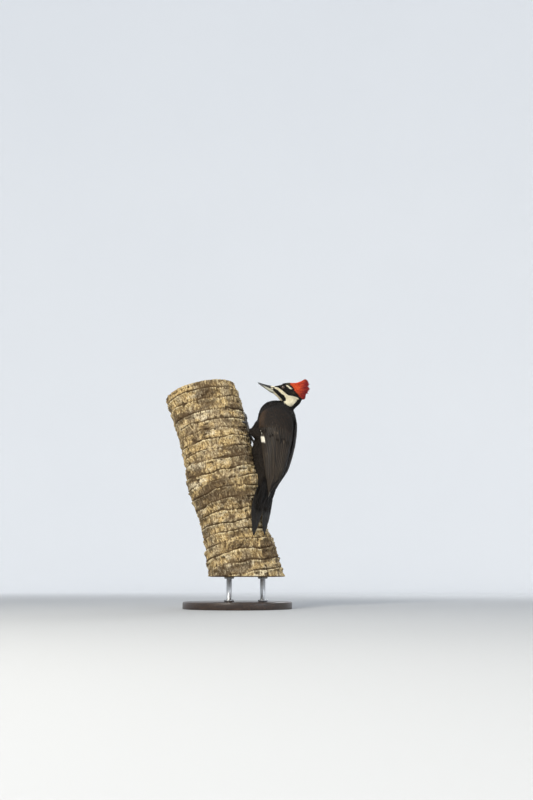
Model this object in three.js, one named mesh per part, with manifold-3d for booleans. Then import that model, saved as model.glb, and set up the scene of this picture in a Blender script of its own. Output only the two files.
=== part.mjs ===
// A life-size pileated woodpecker, a female, at rest on a cut length of palm trunk.
//
// The bird clings to the right side of the leaning trunk, its tail propped against the bark and its
// head turned a little to its left. Two short rods hold the trunk over a flat round base.
// Millimetres, +Z up, origin at the middle of the base's underside. -Y is the front of the display.
import * as THREE from "three";
import { mergeVertices } from "three/addons/utils/BufferGeometryUtils.js";
import Module from "manifold-3d";

const wasm = await Module();
wasm.setup();

const DEG = Math.PI / 180;
const GAP = 0.3; // clearance left between two pieces that meet

// ---- driving sizes -------------------------------------------------------------------------------

// Stand
const BASE_RADIUS = 124;
const BASE_HEIGHT = 16;
const BASE_CHAMFER = 3;
const ROD_RADIUS = 6;
const ROD_SPACING = 76;
const COLLAR_RADIUS = 11;
const COLLAR_HEIGHT = 5;

// Perch: the trunk leans to -X and to +Y, and its lower end is sawn level
const PERCH_FOOT = new THREE.Vector3(19.5, -16, 72);
const PERCH_AXIS = new THREE.Vector3(-0.232, 0.1225, 0.965).normalize();
const PERCH_LENGTH = 450;
const PERCH_EDGE = 2.5; // worn edge of the upper cut
const RING_SPACING = 24; // leaf scars
const RING_DEPTH = 1.1;

// Body frame: z up the spine, y to the back, x to the bird's left
const BODY_CENTRE = new THREE.Vector3(88.2, -8, 369);
const SPINE_LEAN_X = 10.2 * DEG;
const SPINE_LEAN_Y = 9.8 * DEG;
const BACK_AZIMUTH = 68 * DEG; // the back faces this far round from -Y towards +X

// Head frame: x along the bill, y to the bird's left, z over the crown, origin between the eyes
const HEAD_CENTRE = new THREE.Vector3(14.4, -3.8, 145.7); // in the body frame
const BILL_RISE = 11 * DEG;
const VIEW_RISE = 8.2 * DEG; // the head is level across a line that rises this much to +Y
const BILL_BASE = 23;
const BILL_LENGTH = 38.6;
const BILL_DEPTH = 16.5;
const BILL_WIDTH = 13.5;
const EYE_RADIUS = 4.7;
const EYE_SPREAD = 12.6; // each eye's middle to the head's middle plane

// Tail: a stiff fan of two bundles, laid on the trunk; heights are along the perch
const TAIL_TIP_T = 72;
const TAIL_ROOT_T = 202;
const TAIL_FACE = 50 * DEG; // the fan faces the way the bark does this far round the trunk
const TAIL_THICKNESS = 3.2;

// Legs
const TARSUS_RADIUS = 3.1;
const TOE_RADIUS = 2.3;
const CLAW_LENGTH = 11;

// ---- tools ---------------------------------------------------------------------------------------

// A smooth curve through [place, value] pairs, flat beyond its ends and without overshoot.
function profile(pairs) {
  const slope = (i) => (pairs[i + 1][1] - pairs[i][1]) / (pairs[i + 1][0] - pairs[i][0]);
  const tangent = (i) => {
    if (i === 0) return slope(0);
    if (i === pairs.length - 1) return slope(i - 1);
    const before = slope(i - 1);
    const after = slope(i);
    return before * after <= 0 ? 0 : (2 * before * after) / (before + after);
  };
  const tangents = pairs.map((_, i) => tangent(i));
  return (place) => {
    const last = pairs.length - 1;
    if (place <= pairs[0][0]) return pairs[0][1];
    if (place >= pairs[last][0]) return pairs[last][1];
    const i = pairs.findIndex((pair) => pair[0] > place) - 1;
    const width = pairs[i + 1][0] - pairs[i][0];
    const t = (place - pairs[i][0]) / width;
    const rest = 1 - t;
    return (
      pairs[i][1] * (1 + 2 * t) * rest * rest +
      tangents[i] * width * t * rest * rest +
      pairs[i + 1][1] * t * t * (3 - 2 * t) -
      tangents[i + 1] * width * t * t * rest
    );
  };
}

// Moves every point of a geometry through a function and joins the points that meet.
function reshape(geometry, move) {
  const points = geometry.attributes.position;
  const point = new THREE.Vector3();
  for (let i = 0; i < points.count; i += 1) {
    point.fromBufferAttribute(points, i);
    move(point);
    points.setXYZ(i, point.x, point.y, point.z);
  }
  geometry.deleteAttribute("normal");
  geometry.deleteAttribute("uv");
  return mergeVertices(geometry, 1e-4);
}

// A closed round form: rings from v = 0 to 1, each point set by place(v, angle, share of radius).
function loft(around, along, place) {
  return reshape(new THREE.CylinderGeometry(1, 1, 1, around, along), (point) => {
    const share = Math.min(1, Math.hypot(point.x, point.z));
    const angle = Math.atan2(point.x, point.z);
    place(point.y + 0.5, angle, share < 1e-6 ? 0 : share, point);
  });
}

// A closed thin plate: across 0 to 1, along 0 to 1, and side 0 (under) or 1 (over).
function plate(across, along, place) {
  return reshape(new THREE.BoxGeometry(1, 1, 1, across, along, 1), (point) => {
    place(point.x + 0.5, point.y + 0.5, point.z + 0.5, point);
  });
}

// Rings set close together at both ends, where a form closes.
function easeEnds(v, strength) {
  return v - (strength / (2 * Math.PI)) * Math.sin(2 * Math.PI * v);
}

function solidOf(geometry) {
  const flat = geometry.clone();
  flat.deleteAttribute("normal");
  flat.deleteAttribute("uv");
  const merged = flat.index ? flat : mergeVertices(flat, 1e-4);
  const shared = mergeVertices(merged, 1e-4);
  const triVerts = new Uint32Array(shared.index.array);
  const vertProperties = new Float32Array(shared.attributes.position.array);
  const solid = new wasm.Manifold(new wasm.Mesh({ numProp: 3, vertProperties, triVerts }));
  if (solid.volume() >= 0) return solid;
  for (let i = 0; i < triVerts.length; i += 3) {
    [triVerts[i + 1], triVerts[i + 2]] = [triVerts[i + 2], triVerts[i + 1]];
  }
  return new wasm.Manifold(new wasm.Mesh({ numProp: 3, vertProperties, triVerts }));
}

function geometryOf(solid) {
  const mesh = solid.getMesh();
  const positions = new Float32Array(mesh.numVert * 3);
  for (let i = 0; i < mesh.numVert; i += 1) {
    const from = i * mesh.numProp;
    positions.set(mesh.vertProperties.subarray(from, from + 3), i * 3);
  }
  const geometry = new THREE.BufferGeometry();
  geometry.setAttribute("position", new THREE.BufferAttribute(positions, 3));
  geometry.setIndex(new THREE.BufferAttribute(mesh.triVerts, 1));
  return geometry;
}

// The largest body of a cut, without the slivers that a cut can leave.
function largest(solid) {
  return solid.decompose().reduce((a, b) => (a.volume() > b.volume() ? a : b));
}

const root = new THREE.Group();

function add(parent, name, solid, colour, roughness, metalness = 0) {
  const material = new THREE.MeshStandardMaterial({ color: colour, roughness, metalness });
  const mesh = new THREE.Mesh(geometryOf(solid), material);
  mesh.name = name;
  parent.add(mesh);
  return mesh;
}

const COLOURS = {
  plumage: 0x1b1816,
  back: 0x2a221c,
  crest: 0xb3261a,
  upperBill: 0x2e3034,
  lowerBill: 0x9a9686,
  eye: 0xc9a13a,
  leg: 0x55585c,
  bark: 0xa08a63,
  wood: 0x2b211b,
  steel: 0x9fa3a6,
};

// ---- stand: turned base and two rods with collars ------------------------------------------------

const baseOutline = [
  new THREE.Vector2(0, 0),
  new THREE.Vector2(BASE_RADIUS - 1, 0),
  new THREE.Vector2(BASE_RADIUS, 1),
  new THREE.Vector2(BASE_RADIUS, BASE_HEIGHT - BASE_CHAMFER),
  new THREE.Vector2(BASE_RADIUS - BASE_CHAMFER, BASE_HEIGHT),
  new THREE.Vector2(0, BASE_HEIGHT),
];
const baseShape = new THREE.LatheGeometry(baseOutline, 48);
baseShape.rotateX(Math.PI / 2);
add(root, "stand_base", solidOf(baseShape), COLOURS.wood, 0.45);

const rodLow = BASE_HEIGHT + GAP;
const rodHigh = PERCH_FOOT.z - GAP;
const rodOutline = [
  new THREE.Vector2(0, rodLow),
  new THREE.Vector2(COLLAR_RADIUS, rodLow),
  new THREE.Vector2(COLLAR_RADIUS, rodLow + COLLAR_HEIGHT),
  new THREE.Vector2(ROD_RADIUS, rodLow + COLLAR_HEIGHT),
  new THREE.Vector2(ROD_RADIUS, rodHigh - COLLAR_HEIGHT),
  new THREE.Vector2(COLLAR_RADIUS, rodHigh - COLLAR_HEIGHT),
  new THREE.Vector2(COLLAR_RADIUS, rodHigh),
  new THREE.Vector2(0, rodHigh),
];
[-1, 1].forEach((side, i) => {
  const rodShape = new THREE.LatheGeometry(rodOutline, 16);
  rodShape.rotateX(Math.PI / 2);
  const rod = add(root, `stand_rod_${i + 1}`, solidOf(rodShape), COLOURS.steel, 0.3, 0.9);
  rod.position.set(PERCH_FOOT.x + (side * ROD_SPACING) / 2, PERCH_FOOT.y, 0);
});

// ---- perch: a cut length of palm trunk -----------------------------------------------------------

// Directions across the trunk: psi = 0 faces the front (-Y), psi = 90 degrees faces +X.
const perchFront = new THREE.Vector3(0, -1, 0).addScaledVector(PERCH_AXIS, PERCH_AXIS.y).normalize();
const perchSide = new THREE.Vector3().crossVectors(PERCH_AXIS, perchFront);

// The trunk narrows in a waist, and swells again under a ledge that the tail tips stand on.
const perchGirth = profile([
  [-40, 86],
  [10, 84],
  [40, 81],
  [66, 80.5],
  [80, 77],
  [130, 76],
  [180, 80],
  [215, 83],
  [300, 82],
  [345, 82],
  [400, 84],
  [PERCH_LENGTH, 86],
]);

// Two lumps of the bark: a stub of an old leaf foot beside the belly, and a hollow by the tail tips.
const BARK_LUMPS = [
  { t: 206, psi: 62 * DEG, rise: 7, reachT: 15, reachPsi: 17 * DEG },
  { t: 100, psi: 105 * DEG, rise: -6, reachT: 26, reachPsi: 32 * DEG },
  { t: 385, psi: -85 * DEG, rise: 3, reachT: 38, reachPsi: 55 * DEG },
  { t: 228, psi: -85 * DEG, rise: 3.5, reachT: 35, reachPsi: 50 * DEG },
];

function perchRadius(t, psi) {
  const ring = Math.cos((2 * Math.PI * t) / RING_SPACING + 0.5 * Math.sin(psi * 2 + 1));
  const oval = 0.012 * Math.cos(2 * (psi - 0.6));
  const lumps = BARK_LUMPS.reduce((sum, lump) => {
    const turn = Math.atan2(Math.sin(psi - lump.psi), Math.cos(psi - lump.psi));
    return sum + lump.rise * Math.exp(-(((t - lump.t) / lump.reachT) ** 2) - (turn / lump.reachPsi) ** 2);
  }, 0);
  return perchGirth(t) * (1 + oval) + RING_DEPTH * ring + lumps;
}

// How far the top of the trunk curves over to -X.
const perchBend = profile([
  [385, 0],
  [425, 4.5],
  [PERCH_LENGTH, 9],
]);

function onAxis(t, target = new THREE.Vector3()) {
  target.copy(PERCH_FOOT).addScaledVector(PERCH_AXIS, t);
  target.x -= perchBend(t);
  return target;
}

// A point at height t up the axis and angle psi round it, this far off the bark.
function onPerch(t, psi, off = 0, target = new THREE.Vector3()) {
  const radius = perchRadius(t, psi) + off;
  return onAxis(t, target)
    .addScaledVector(perchFront, radius * Math.cos(psi))
    .addScaledVector(perchSide, radius * Math.sin(psi));
}

const PERCH_BELOW = 40; // blank under the level cut
function perchBlank(grow) {
  return loft(28, 27, (v, angle, share, point) => {
    const t = -PERCH_BELOW + v * (PERCH_LENGTH + PERCH_BELOW);
    const worn = v > 0.999 ? -PERCH_EDGE : 0;
    onPerch(t, angle, worn + grow, point);
    if (share < 0.5) onAxis(t, point);
  });
}
const belowCut = new THREE.BoxGeometry(400, 400, 200);
belowCut.translate(PERCH_FOOT.x, PERCH_FOOT.y, PERCH_FOOT.z - 100);
add(root, "perch_trunk", solidOf(perchBlank(0)).subtract(solidOf(belowCut)), COLOURS.bark, 0.9);

// ---- the bird's body frame -----------------------------------------------------------------------

const spine = new THREE.Vector3(Math.tan(SPINE_LEAN_X), Math.tan(SPINE_LEAN_Y), 1).normalize();
const back = new THREE.Vector3(Math.sin(BACK_AZIMUTH), -Math.cos(BACK_AZIMUTH), 0);
back.addScaledVector(spine, -back.dot(spine)).normalize();
const left = new THREE.Vector3().crossVectors(back, spine);

const bird = new THREE.Group();
bird.matrixAutoUpdate = false;
bird.matrix.makeBasis(left, back, spine).setPosition(BODY_CENTRE);
root.add(bird);
const worldToBird = bird.matrix.clone().invert();

// Torso sections up the spine: middle, half depth and half width.
const torsoMiddle = profile([
  [-122, -12],
  [-100, -9],
  [-60, -5.8],
  [0, -7.5],
  [50, -9.7],
  [84, -13],
  [101, -14],
  [113.5, -10],
]);
const torsoDepth = profile([
  [-122, 5],
  [-108, 13],
  [-80, 27.8],
  [-40, 40.2],
  [0, 44.5],
  [34, 45.8],
  [62, 45.5],
  [84, 42.5],
  [101, 32.5],
  [113.5, 12],
]);
const torsoWidth = profile([
  [-122, 12],
  [-108, 20],
  [-80, 29],
  [-40, 38],
  [0, 43],
  [34, 44.5],
  [62, 44.5],
  [84, 41.5],
  [101, 32.5],
  [113.5, 12],
]);
const TORSO_LOW = -122;
const TORSO_HIGH = 113.5;

// The low belly is puffed out until it rests on the bark.
function bellyPuff(z, angle) {
  return 6 * Math.exp(-(((z + 14) / 22) ** 2)) * Math.max(-Math.cos(angle), 0) ** 2;
}

function torso(grow) {
  return solidOf(
    loft(20, 16, (v, angle, share, point) => {
      const z = TORSO_LOW + easeEnds(v, 0.6) * (TORSO_HIGH - TORSO_LOW);
      const end = v < 1e-6 ? -grow : v > 1 - 1e-6 ? grow : 0;
      const reach = (torsoDepth(z) + grow) * Math.cos(angle) - bellyPuff(z, angle);
      point.set(share * (torsoWidth(z) + grow) * Math.sin(angle), torsoMiddle(z) + share * reach, z + end);
    }),
  );
}

// ---- head, in its own frame ----------------------------------------------------------------------

const viewRight = new THREE.Vector3(1, 0, 0);
const viewUp = new THREE.Vector3(0, -Math.sin(VIEW_RISE), Math.cos(VIEW_RISE));
const headForward = viewRight
  .clone()
  .multiplyScalar(-Math.cos(BILL_RISE))
  .addScaledVector(viewUp, Math.sin(BILL_RISE));
const headUp = viewRight
  .clone()
  .multiplyScalar(Math.sin(BILL_RISE))
  .addScaledVector(viewUp, Math.cos(BILL_RISE));
const headLeft = new THREE.Vector3().crossVectors(headUp, headForward);
const headToWorld = new THREE.Matrix4()
  .makeBasis(headForward, headLeft, headUp)
  .setPosition(HEAD_CENTRE.clone().applyMatrix4(bird.matrix));
const headToBird = worldToBird.clone().multiply(headToWorld);

const headTop = profile([
  [-43, 5],
  [-34, 13],
  [-20, 15],
  [-6, 12],
  [8, 5],
  [BILL_BASE, -1],
]);
const headBottom = profile([
  [-43, -24],
  [-34, -36],
  [-20, -39],
  [-6, -36.5],
  [8, -25.5],
  [BILL_BASE, -17.5],
]);
const headWidth = profile([
  [-43, 5],
  [-36, 13],
  [-24, 19],
  [-12, 19.5],
  [0, 16.5],
  [12, 11.5],
  [BILL_BASE, 6.8],
]);
const HEAD_REAR = -43;

// The nape fills the hollow between the back of the head and the mantle.
const napeTop = profile([
  [-51, -10],
  [-44, -11],
  [-12, -12],
]);
const napeLow = profile([
  [-51, -15],
  [-49.5, -20],
  [-47.5, -27],
  [-44.5, -34],
  [-35, -44.5],
  [-24, -53],
  [-12, -54],
]);
const napeWidth = profile([
  [-51, 3],
  [-44, 9],
  [-36, 13],
  [-24, 16],
  [-12, 14],
]);
const NAPE_REAR = -51;
const NAPE_FRONT = -12;

// A solid along the head from the rear to the front, between a top and a bottom line.
function alongHead(highAt, lowAt, widthAt, rear, front, sides, steps) {
  return loft(sides, steps, (v, angle, share, point) => {
    const x = rear + easeEnds(v, 0.5) * (front - rear);
    const high = highAt(x);
    const low = lowAt(x);
    point.set(
      x,
      share * widthAt(x) * Math.sin(angle),
      (high + low) / 2 + (share * Math.cos(angle) * (high - low)) / 2,
    );
  });
}
const headShape = alongHead(headTop, headBottom, headWidth, HEAD_REAR, BILL_BASE, 16, 12);
const napeShape = alongHead(napeTop, napeLow, napeWidth, NAPE_REAR, NAPE_FRONT, 10, 6);

// Eyes: near spheres, each in a socket of the head.
const EYE_PLACES = [
  ["eye_left", 1],
  ["eye_right", -1],
];
function eyeBall(side, grow) {
  const ball = new THREE.SphereGeometry(EYE_RADIUS + grow, 12, 8);
  ball.translate(0, side * EYE_SPREAD, 0);
  return solidOf(ball);
}

// Crest: a laterally thin blade from over the eye back to the nape.
const crestTop = profile([
  [-63, 16],
  [-51, 28.5],
  [-43, 22],
  [-34, 18],
  [-20, 15.5],
  [-4, 12.5],
  [4, 9],
]);
const crestBottom = profile([
  [-63, 4],
  [-58, -12],
  [-51, -20],
  [-34, -19],
  [-16, 6],
  [4, 5],
]);
const crestWidth = profile([
  [-63, 1.2],
  [-50, 5],
  [-34, 12],
  [-16, 12],
  [4, 5],
]);
const CREST_REAR = -63;
const CREST_FRONT = 4;
function crestShape(grow) {
  return loft(12, 10, (v, angle, share, point) => {
    const x = CREST_REAR - grow + easeEnds(v, 0.5) * (CREST_FRONT + 2 * grow - CREST_REAR);
    const high = crestTop(x) + grow;
    const low = crestBottom(x) - grow;
    point.set(
      x,
      share * (crestWidth(x) + grow) * Math.sin(angle),
      (high + low) / 2 + (share * Math.cos(angle) * (high - low)) / 2,
    );
  });
}

// Bill: two straight chisel halves that meet along the gape.
function mandible(topAt, bottomAt, tip) {
  return loft(12, 7, (v, angle, share, point) => {
    const run = v * tip;
    const width = (BILL_WIDTH / 2) * (1 - 0.86 * (run / BILL_LENGTH) ** 0.9);
    const high = topAt(run);
    const low = bottomAt(run);
    point.set(
      BILL_BASE + GAP + run,
      share * width * Math.sin(angle),
      (high + low) / 2 + (share * Math.cos(angle) * (high - low)) / 2,
    );
  });
}
const culmen = profile([
  [0, -1.2],
  [20, -0.4],
  [BILL_LENGTH, 1.6],
]);
const gape = profile([
  [0, -9],
  [BILL_LENGTH, 0.5],
]);
const keel = profile([
  [0, -1.2 - BILL_DEPTH],
  [15, -11.6],
  [BILL_LENGTH, -0.6],
]);

// ---- neck: from the shoulders up and back into the head ------------------------------------------

const neckMiddleY = profile([
  [70, -8],
  [96, 4.5],
  [113, 12.5],
  [134, 12],
]);
const neckDepth = profile([
  [70, 28],
  [96, 17],
  [113, 20],
  [134, 17],
]);
const neckWidth = profile([
  [70, 30],
  [96, 25],
  [113, 20],
  [134, 13],
]);
const NECK_LOW = 70;
const NECK_HIGH = 134;
function neck(grow) {
  return solidOf(
    loft(16, 6, (v, angle, share, point) => {
      const z = NECK_LOW + v * (NECK_HIGH - NECK_LOW);
      const end = v < 1e-6 ? -grow : v > 1 - 1e-6 ? grow : 0;
      point.set(
        share * (neckWidth(z) + grow) * Math.sin(angle),
        neckMiddleY(z) + share * (neckDepth(z) + grow) * Math.cos(angle),
        z + end,
      );
    }),
  );
}
function toBird(solid, matrix) {
  return solidOf(geometryOf(solid).applyMatrix4(matrix));
}

// The neck stops clear of the torso, and the head is hollowed for the neck's top and the crest.
const perchInBird = toBird(solidOf(perchBlank(0.5)), worldToBird);
const crestClear = toBird(solidOf(crestShape(GAP)), headToBird);
const neckSolid = neck(0).subtract(torso(GAP)).subtract(crestClear);
const headSolid = toBird(solidOf(headShape).add(solidOf(napeShape)), headToBird)
  .subtract(crestClear)
  .subtract(neck(GAP))
  .subtract(torso(GAP));
const sockets = EYE_PLACES.map(([, side]) => toBird(eyeBall(side, GAP), headToBird));
const headWithSockets = sockets.reduce((solid, socket) => solid.subtract(socket), headSolid);
add(bird, "torso", largest(torso(0).subtract(perchInBird)), COLOURS.plumage, 0.8);
add(bird, "neck", largest(neckSolid), COLOURS.plumage, 0.8);
add(bird, "head", largest(headWithSockets), COLOURS.plumage, 0.8);
add(bird, "crest", toBird(solidOf(crestShape(0)), headToBird), COLOURS.crest, 0.7);
EYE_PLACES.forEach(([name, side]) => {
  add(bird, name, toBird(eyeBall(side, 0), headToBird), COLOURS.eye, 0.15);
});
const upperBill = mandible(culmen, (run) => gape(run) + GAP / 2, BILL_LENGTH);
const lowerBill = mandible((run) => gape(run) - GAP / 2, keel, BILL_LENGTH - 2.5);
add(bird, "bill_upper", toBird(solidOf(upperBill), headToBird), COLOURS.upperBill, 0.35);
add(bird, "bill_lower", toBird(solidOf(lowerBill), headToBird), COLOURS.lowerBill, 0.4);

// ---- wings: folded shells over the torso ---------------------------------------------------------

// A wing lies on the torso down to the flank, then runs on as a free blade over the tail's root.
const wingMiddle = profile([
  [-128, 5],
  [-100, -0.5],
  [-60, -4],
  [0, -6.6],
  [50, -9.7],
  [92, -13],
]);
const wingReachY = profile([
  [-128, 7],
  [-112, 20],
  [-80, 31.6],
  [-40, 40.3],
  [0, 44.6],
  [34, 45.9],
  [62, 45.5],
  [92, 36],
]);
const wingReachX = profile([
  [-128, 14],
  [-112, 24],
  [-80, 34],
  [-40, 40],
  [0, 44],
  [34, 45.5],
  [62, 45],
  [92, 36],
]);
const wingLowEdge = profile([
  [-128, 62],
  [-80, 82],
  [-30, 96],
  [14, 112],
  [32, 120],
  [62, 121],
  [82, 110],
  [92, 84],
]);
const wingBackEdge = profile([
  [-128, 52],
  [-112, 40],
  [-98, 24],
  [-84, 9],
  [-40, 6],
  [40, 8],
  [66, 14],
  [84, 34],
  [92, 66],
]);
const WING_TIP = -128;
const WING_TOP = 92;
const WING_THICKNESS = 6.5;
const WING_EDGE = 0.8;

// The wrist of the folded wing stands out at the front of the shoulder.
function wrist(z, across) {
  return 4.5 * Math.exp(-(((z - 46) / 17) ** 2)) * Math.exp(-(((across - 0.05) / 0.13) ** 2));
}

// The far wing is folded a little tighter: its tip is higher up, and closer to the rump.
const RIGHT_WING_TIP = -106;
const rightWingTuck = profile([
  [RIGHT_WING_TIP, 3.5],
  [-80, 5],
  [-50, 0],
]);
function wing(side) {
  return plate(7, 14, (across, along, over, point) => {
    const z = WING_TIP + along * (WING_TOP - WING_TIP);
    const tip = side > 0 ? WING_TIP : RIGHT_WING_TIP;
    const height = tip + along * (WING_TOP - tip);
    const tuck = side > 0 ? 0 : rightWingTuck(height);
    const lowEdge = wingLowEdge(z);
    const angle = (lowEdge + across * (wingBackEdge(z) - lowEdge)) * DEG;
    const swell = Math.sin(Math.PI * across) ** 0.6 * Math.sin(Math.PI * (0.06 + 0.88 * along)) ** 0.5;
    const thick = WING_EDGE + (WING_THICKNESS - WING_EDGE) * swell + wrist(z, across);
    const lift = 2 * GAP + over * thick;
    point.set(
      side * (wingReachX(z) + lift) * Math.sin(angle),
      wingMiddle(z) + (wingReachY(z) + lift) * Math.cos(angle) - tuck,
      height,
    );
  });
}
const torsoClear = torso(GAP).add(neck(GAP));
const wings = [1, -1].map((side) => largest(solidOf(wing(side)).subtract(torsoClear)));

// ---- tail: two stiff bundles on the bark ---------------------------------------------------------

// In the fan's plane q runs across to the bird's right, n stands off the perch's axis, and t is the
// height up the perch. Each bundle's edges are measured from the fan's middle line.
const tailAcross = new THREE.Vector3()
  .addScaledVector(perchFront, -Math.sin(TAIL_FACE))
  .addScaledVector(perchSide, Math.cos(TAIL_FACE));
const tailOut = new THREE.Vector3()
  .addScaledVector(perchFront, Math.cos(TAIL_FACE))
  .addScaledVector(perchSide, Math.sin(TAIL_FACE));
const tailMiddleQ = profile([
  [TAIL_TIP_T, -18],
  [126, 8],
  [168, 28],
  [TAIL_ROOT_T, 44],
]);
const tailLift = profile([
  [TAIL_TIP_T, 80],
  [126, 81],
  [168, 87],
  [TAIL_ROOT_T, 97],
]);
const TAIL_BUNDLES = [
  {
    side: -1,
    inner: profile([
      [0, 17.5],
      [0.1, 13],
      [0.2, 8],
      [0.31, 2],
      [0.4, -3],
    ]),
    outer: profile([
      [0, 21],
      [0.07, 26.5],
      [0.18, 30],
      [0.34, 33.5],
      [0.55, 35],
      [0.8, 31],
      [1, 20],
    ]),
  },
  {
    side: 1,
    inner: profile([
      [0, 16],
      [0.07, 8],
      [0.16, 2],
      [0.31, -2],
      [0.4, -3],
    ]),
    outer: profile([
      [0, 20],
      [0.05, 25.5],
      [0.16, 30.5],
      [0.34, 35.5],
      [0.55, 37],
      [0.8, 33],
      [1, 21],
    ]),
  },
];
function tailBundle({ side, inner, outer }) {
  return plate(4, 12, (across, along, over, point) => {
    const wide = inner(along) + across * (outer(along) - inner(along));
    const t = TAIL_TIP_T + along * (TAIL_ROOT_T - TAIL_TIP_T);
    const drape = 0.0022 * wide * wide * (0.4 + 0.6 * along);
    const full = Math.sqrt(Math.sin(Math.PI * Math.min(1, 0.15 + along)));
    const lift = tailLift(t) - drape + over * TAIL_THICKNESS * (0.3 + 0.7 * full);
    point
      .copy(PERCH_FOOT)
      .addScaledVector(PERCH_AXIS, t)
      .addScaledVector(tailAcross, tailMiddleQ(t) + side * wide)
      .addScaledVector(tailOut, lift);
  });
}
const tail = TAIL_BUNDLES.map((bundle) => solidOf(tailBundle(bundle))).reduce((a, b) => a.add(b));
const perchSolid = solidOf(perchBlank(0.5));

// ---- legs: feathered thighs, then bare shanks with four toes --------------------------------------

function tube(points, radiusAt, sides, steps) {
  const path = new THREE.CatmullRomCurve3(points, false, "centripetal");
  const frames = path.computeFrenetFrames(steps, false);
  return loft(sides, steps, (v, angle, share, point) => {
    const i = Math.round(v * steps);
    const radius = share * radiusAt(v);
    point
      .copy(path.getPointAt(i / steps))
      .addScaledVector(frames.normals[i], radius * Math.cos(angle))
      .addScaledVector(frames.binormals[i], radius * Math.sin(angle));
  });
}

// Each foot: where its ball rests (height up the perch and angle round it), where the heel stands,
// the knee, the top of the fold of plumage that runs down from the breast onto the near thigh, and
// each toe's turn from straight up and length. Toes two and three point up, the outer one to
// the side and the short hind one back.
const FEET = [
  {
    name: "left",
    side: 1,
    ball: [347, 75],
    heel: [320, 64],
    knee: new THREE.Vector3(28, -30, 20),
    fold: new THREE.Vector3(33, -27, 52),
    toes: [
      [24, 20],
      [-5, 19],
      [-98, 22],
      [-150, 13],
    ],
  },
  {
    name: "right",
    side: -1,
    ball: [326, 101],
    heel: [302, 96],
    knee: new THREE.Vector3(-26, -30, 4),
    toes: [
      [-26, 20],
      [0, 21],
      [104, 25],
      [155, 14],
    ],
  },
];
const TOE_CLEAR = TOE_RADIUS + 0.5;
const KNUCKLE = 0.8;

// A toe runs along the bark in a straight line from the ball, and its claw hooks over into it.
function toeTube([t0, psi0], turn, length) {
  const radius = perchRadius(t0, psi0 * DEG);
  const at = (run, off) =>
    onPerch(t0 + run * Math.cos(turn * DEG), psi0 * DEG + (run * Math.sin(turn * DEG)) / radius, off);
  const joints = [0, 0.25, 0.5, 0.75, 1];
  const points = joints.map((share, i) => at(share * length, TOE_CLEAR + KNUCKLE * (i % 2)));
  points.push(at(length + CLAW_LENGTH * 0.45, TOE_CLEAR + 1.8));
  points.push(at(length + CLAW_LENGTH * 0.85, TOE_CLEAR + 0.4));
  points.push(at(length + CLAW_LENGTH, 0.8));
  const clawFrom = length / (length + CLAW_LENGTH);
  const radiusAt = (v) => {
    if (v < clawFrom) return TOE_RADIUS * (1.08 - (0.24 * v) / clawFrom);
    return 0.35 + 1.45 * ((1 - v) / (1 - clawFrom));
  };
  return tube(points, radiusAt, 5, 9);
}

FEET.forEach((foot) => {
  const ball = onPerch(foot.ball[0], foot.ball[1] * DEG, TARSUS_RADIUS + 1.2);
  const heel = onPerch(foot.heel[0], foot.heel[1] * DEG, 11);
  const shank = tube(
    [heel, heel.clone().lerp(ball, 0.5).addScaledVector(PERCH_AXIS, 0.5), ball],
    (v) => TARSUS_RADIUS * (1.25 - 0.35 * Math.sin(Math.PI * v)),
    8,
    4,
  );
  let footSolid = solidOf(shank);
  foot.toes.forEach(([turn, length]) => {
    footSolid = footSolid.add(solidOf(toeTube(foot.ball, turn, length)));
  });
  const ballPad = new THREE.SphereGeometry(TARSUS_RADIUS * 1.3, 8, 6);
  ballPad.translate(ball.x, ball.y, ball.z);
  footSolid = footSolid.add(solidOf(ballPad)).subtract(perchSolid);
  add(root, `foot_${foot.name}`, largest(footSolid), COLOURS.leg, 0.6);

  const knee = foot.knee.clone().applyMatrix4(bird.matrix);
  const ankle = heel.clone().lerp(knee, 0.02);
  const thigh = tube([knee, knee.clone().lerp(ankle, 0.5), ankle], (v) => 23 - 16 * v ** 0.7, 11, 5);
  let plumage = solidOf(thigh);
  if (foot.fold) {
    const top = foot.fold.clone().applyMatrix4(bird.matrix);
    const low = knee.clone().lerp(heel, 0.6);
    const fold = tube([top, top.clone().lerp(low, 0.5), low], (v) => 14.8 - 4 * v, 8, 2);
    plumage = plumage.add(solidOf(fold));
  }
  const thighSolid = toBird(plumage, worldToBird)
    .subtract(torsoClear)
    .subtract(toBird(footSolid, worldToBird))
    .subtract(perchInBird);
  wings.forEach((_, i) => {
    wings[i] = largest(wings[i].subtract(thighSolid));
  });
  add(bird, `thigh_${foot.name}`, largest(thighSolid), COLOURS.plumage, 0.85);
});

["wing_left", "wing_right"].forEach((name, i) => {
  add(bird, name, wings[i], COLOURS.back, 0.75);
});
const tailSolid = toBird(tail, worldToBird).subtract(torso(GAP)).subtract(perchInBird);
add(bird, "tail", largest(tailSolid), COLOURS.plumage, 0.7);

export default root;
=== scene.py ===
import math

import bpy
import numpy as np
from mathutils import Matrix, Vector
from mathutils.bvhtree import BVHTree


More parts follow.
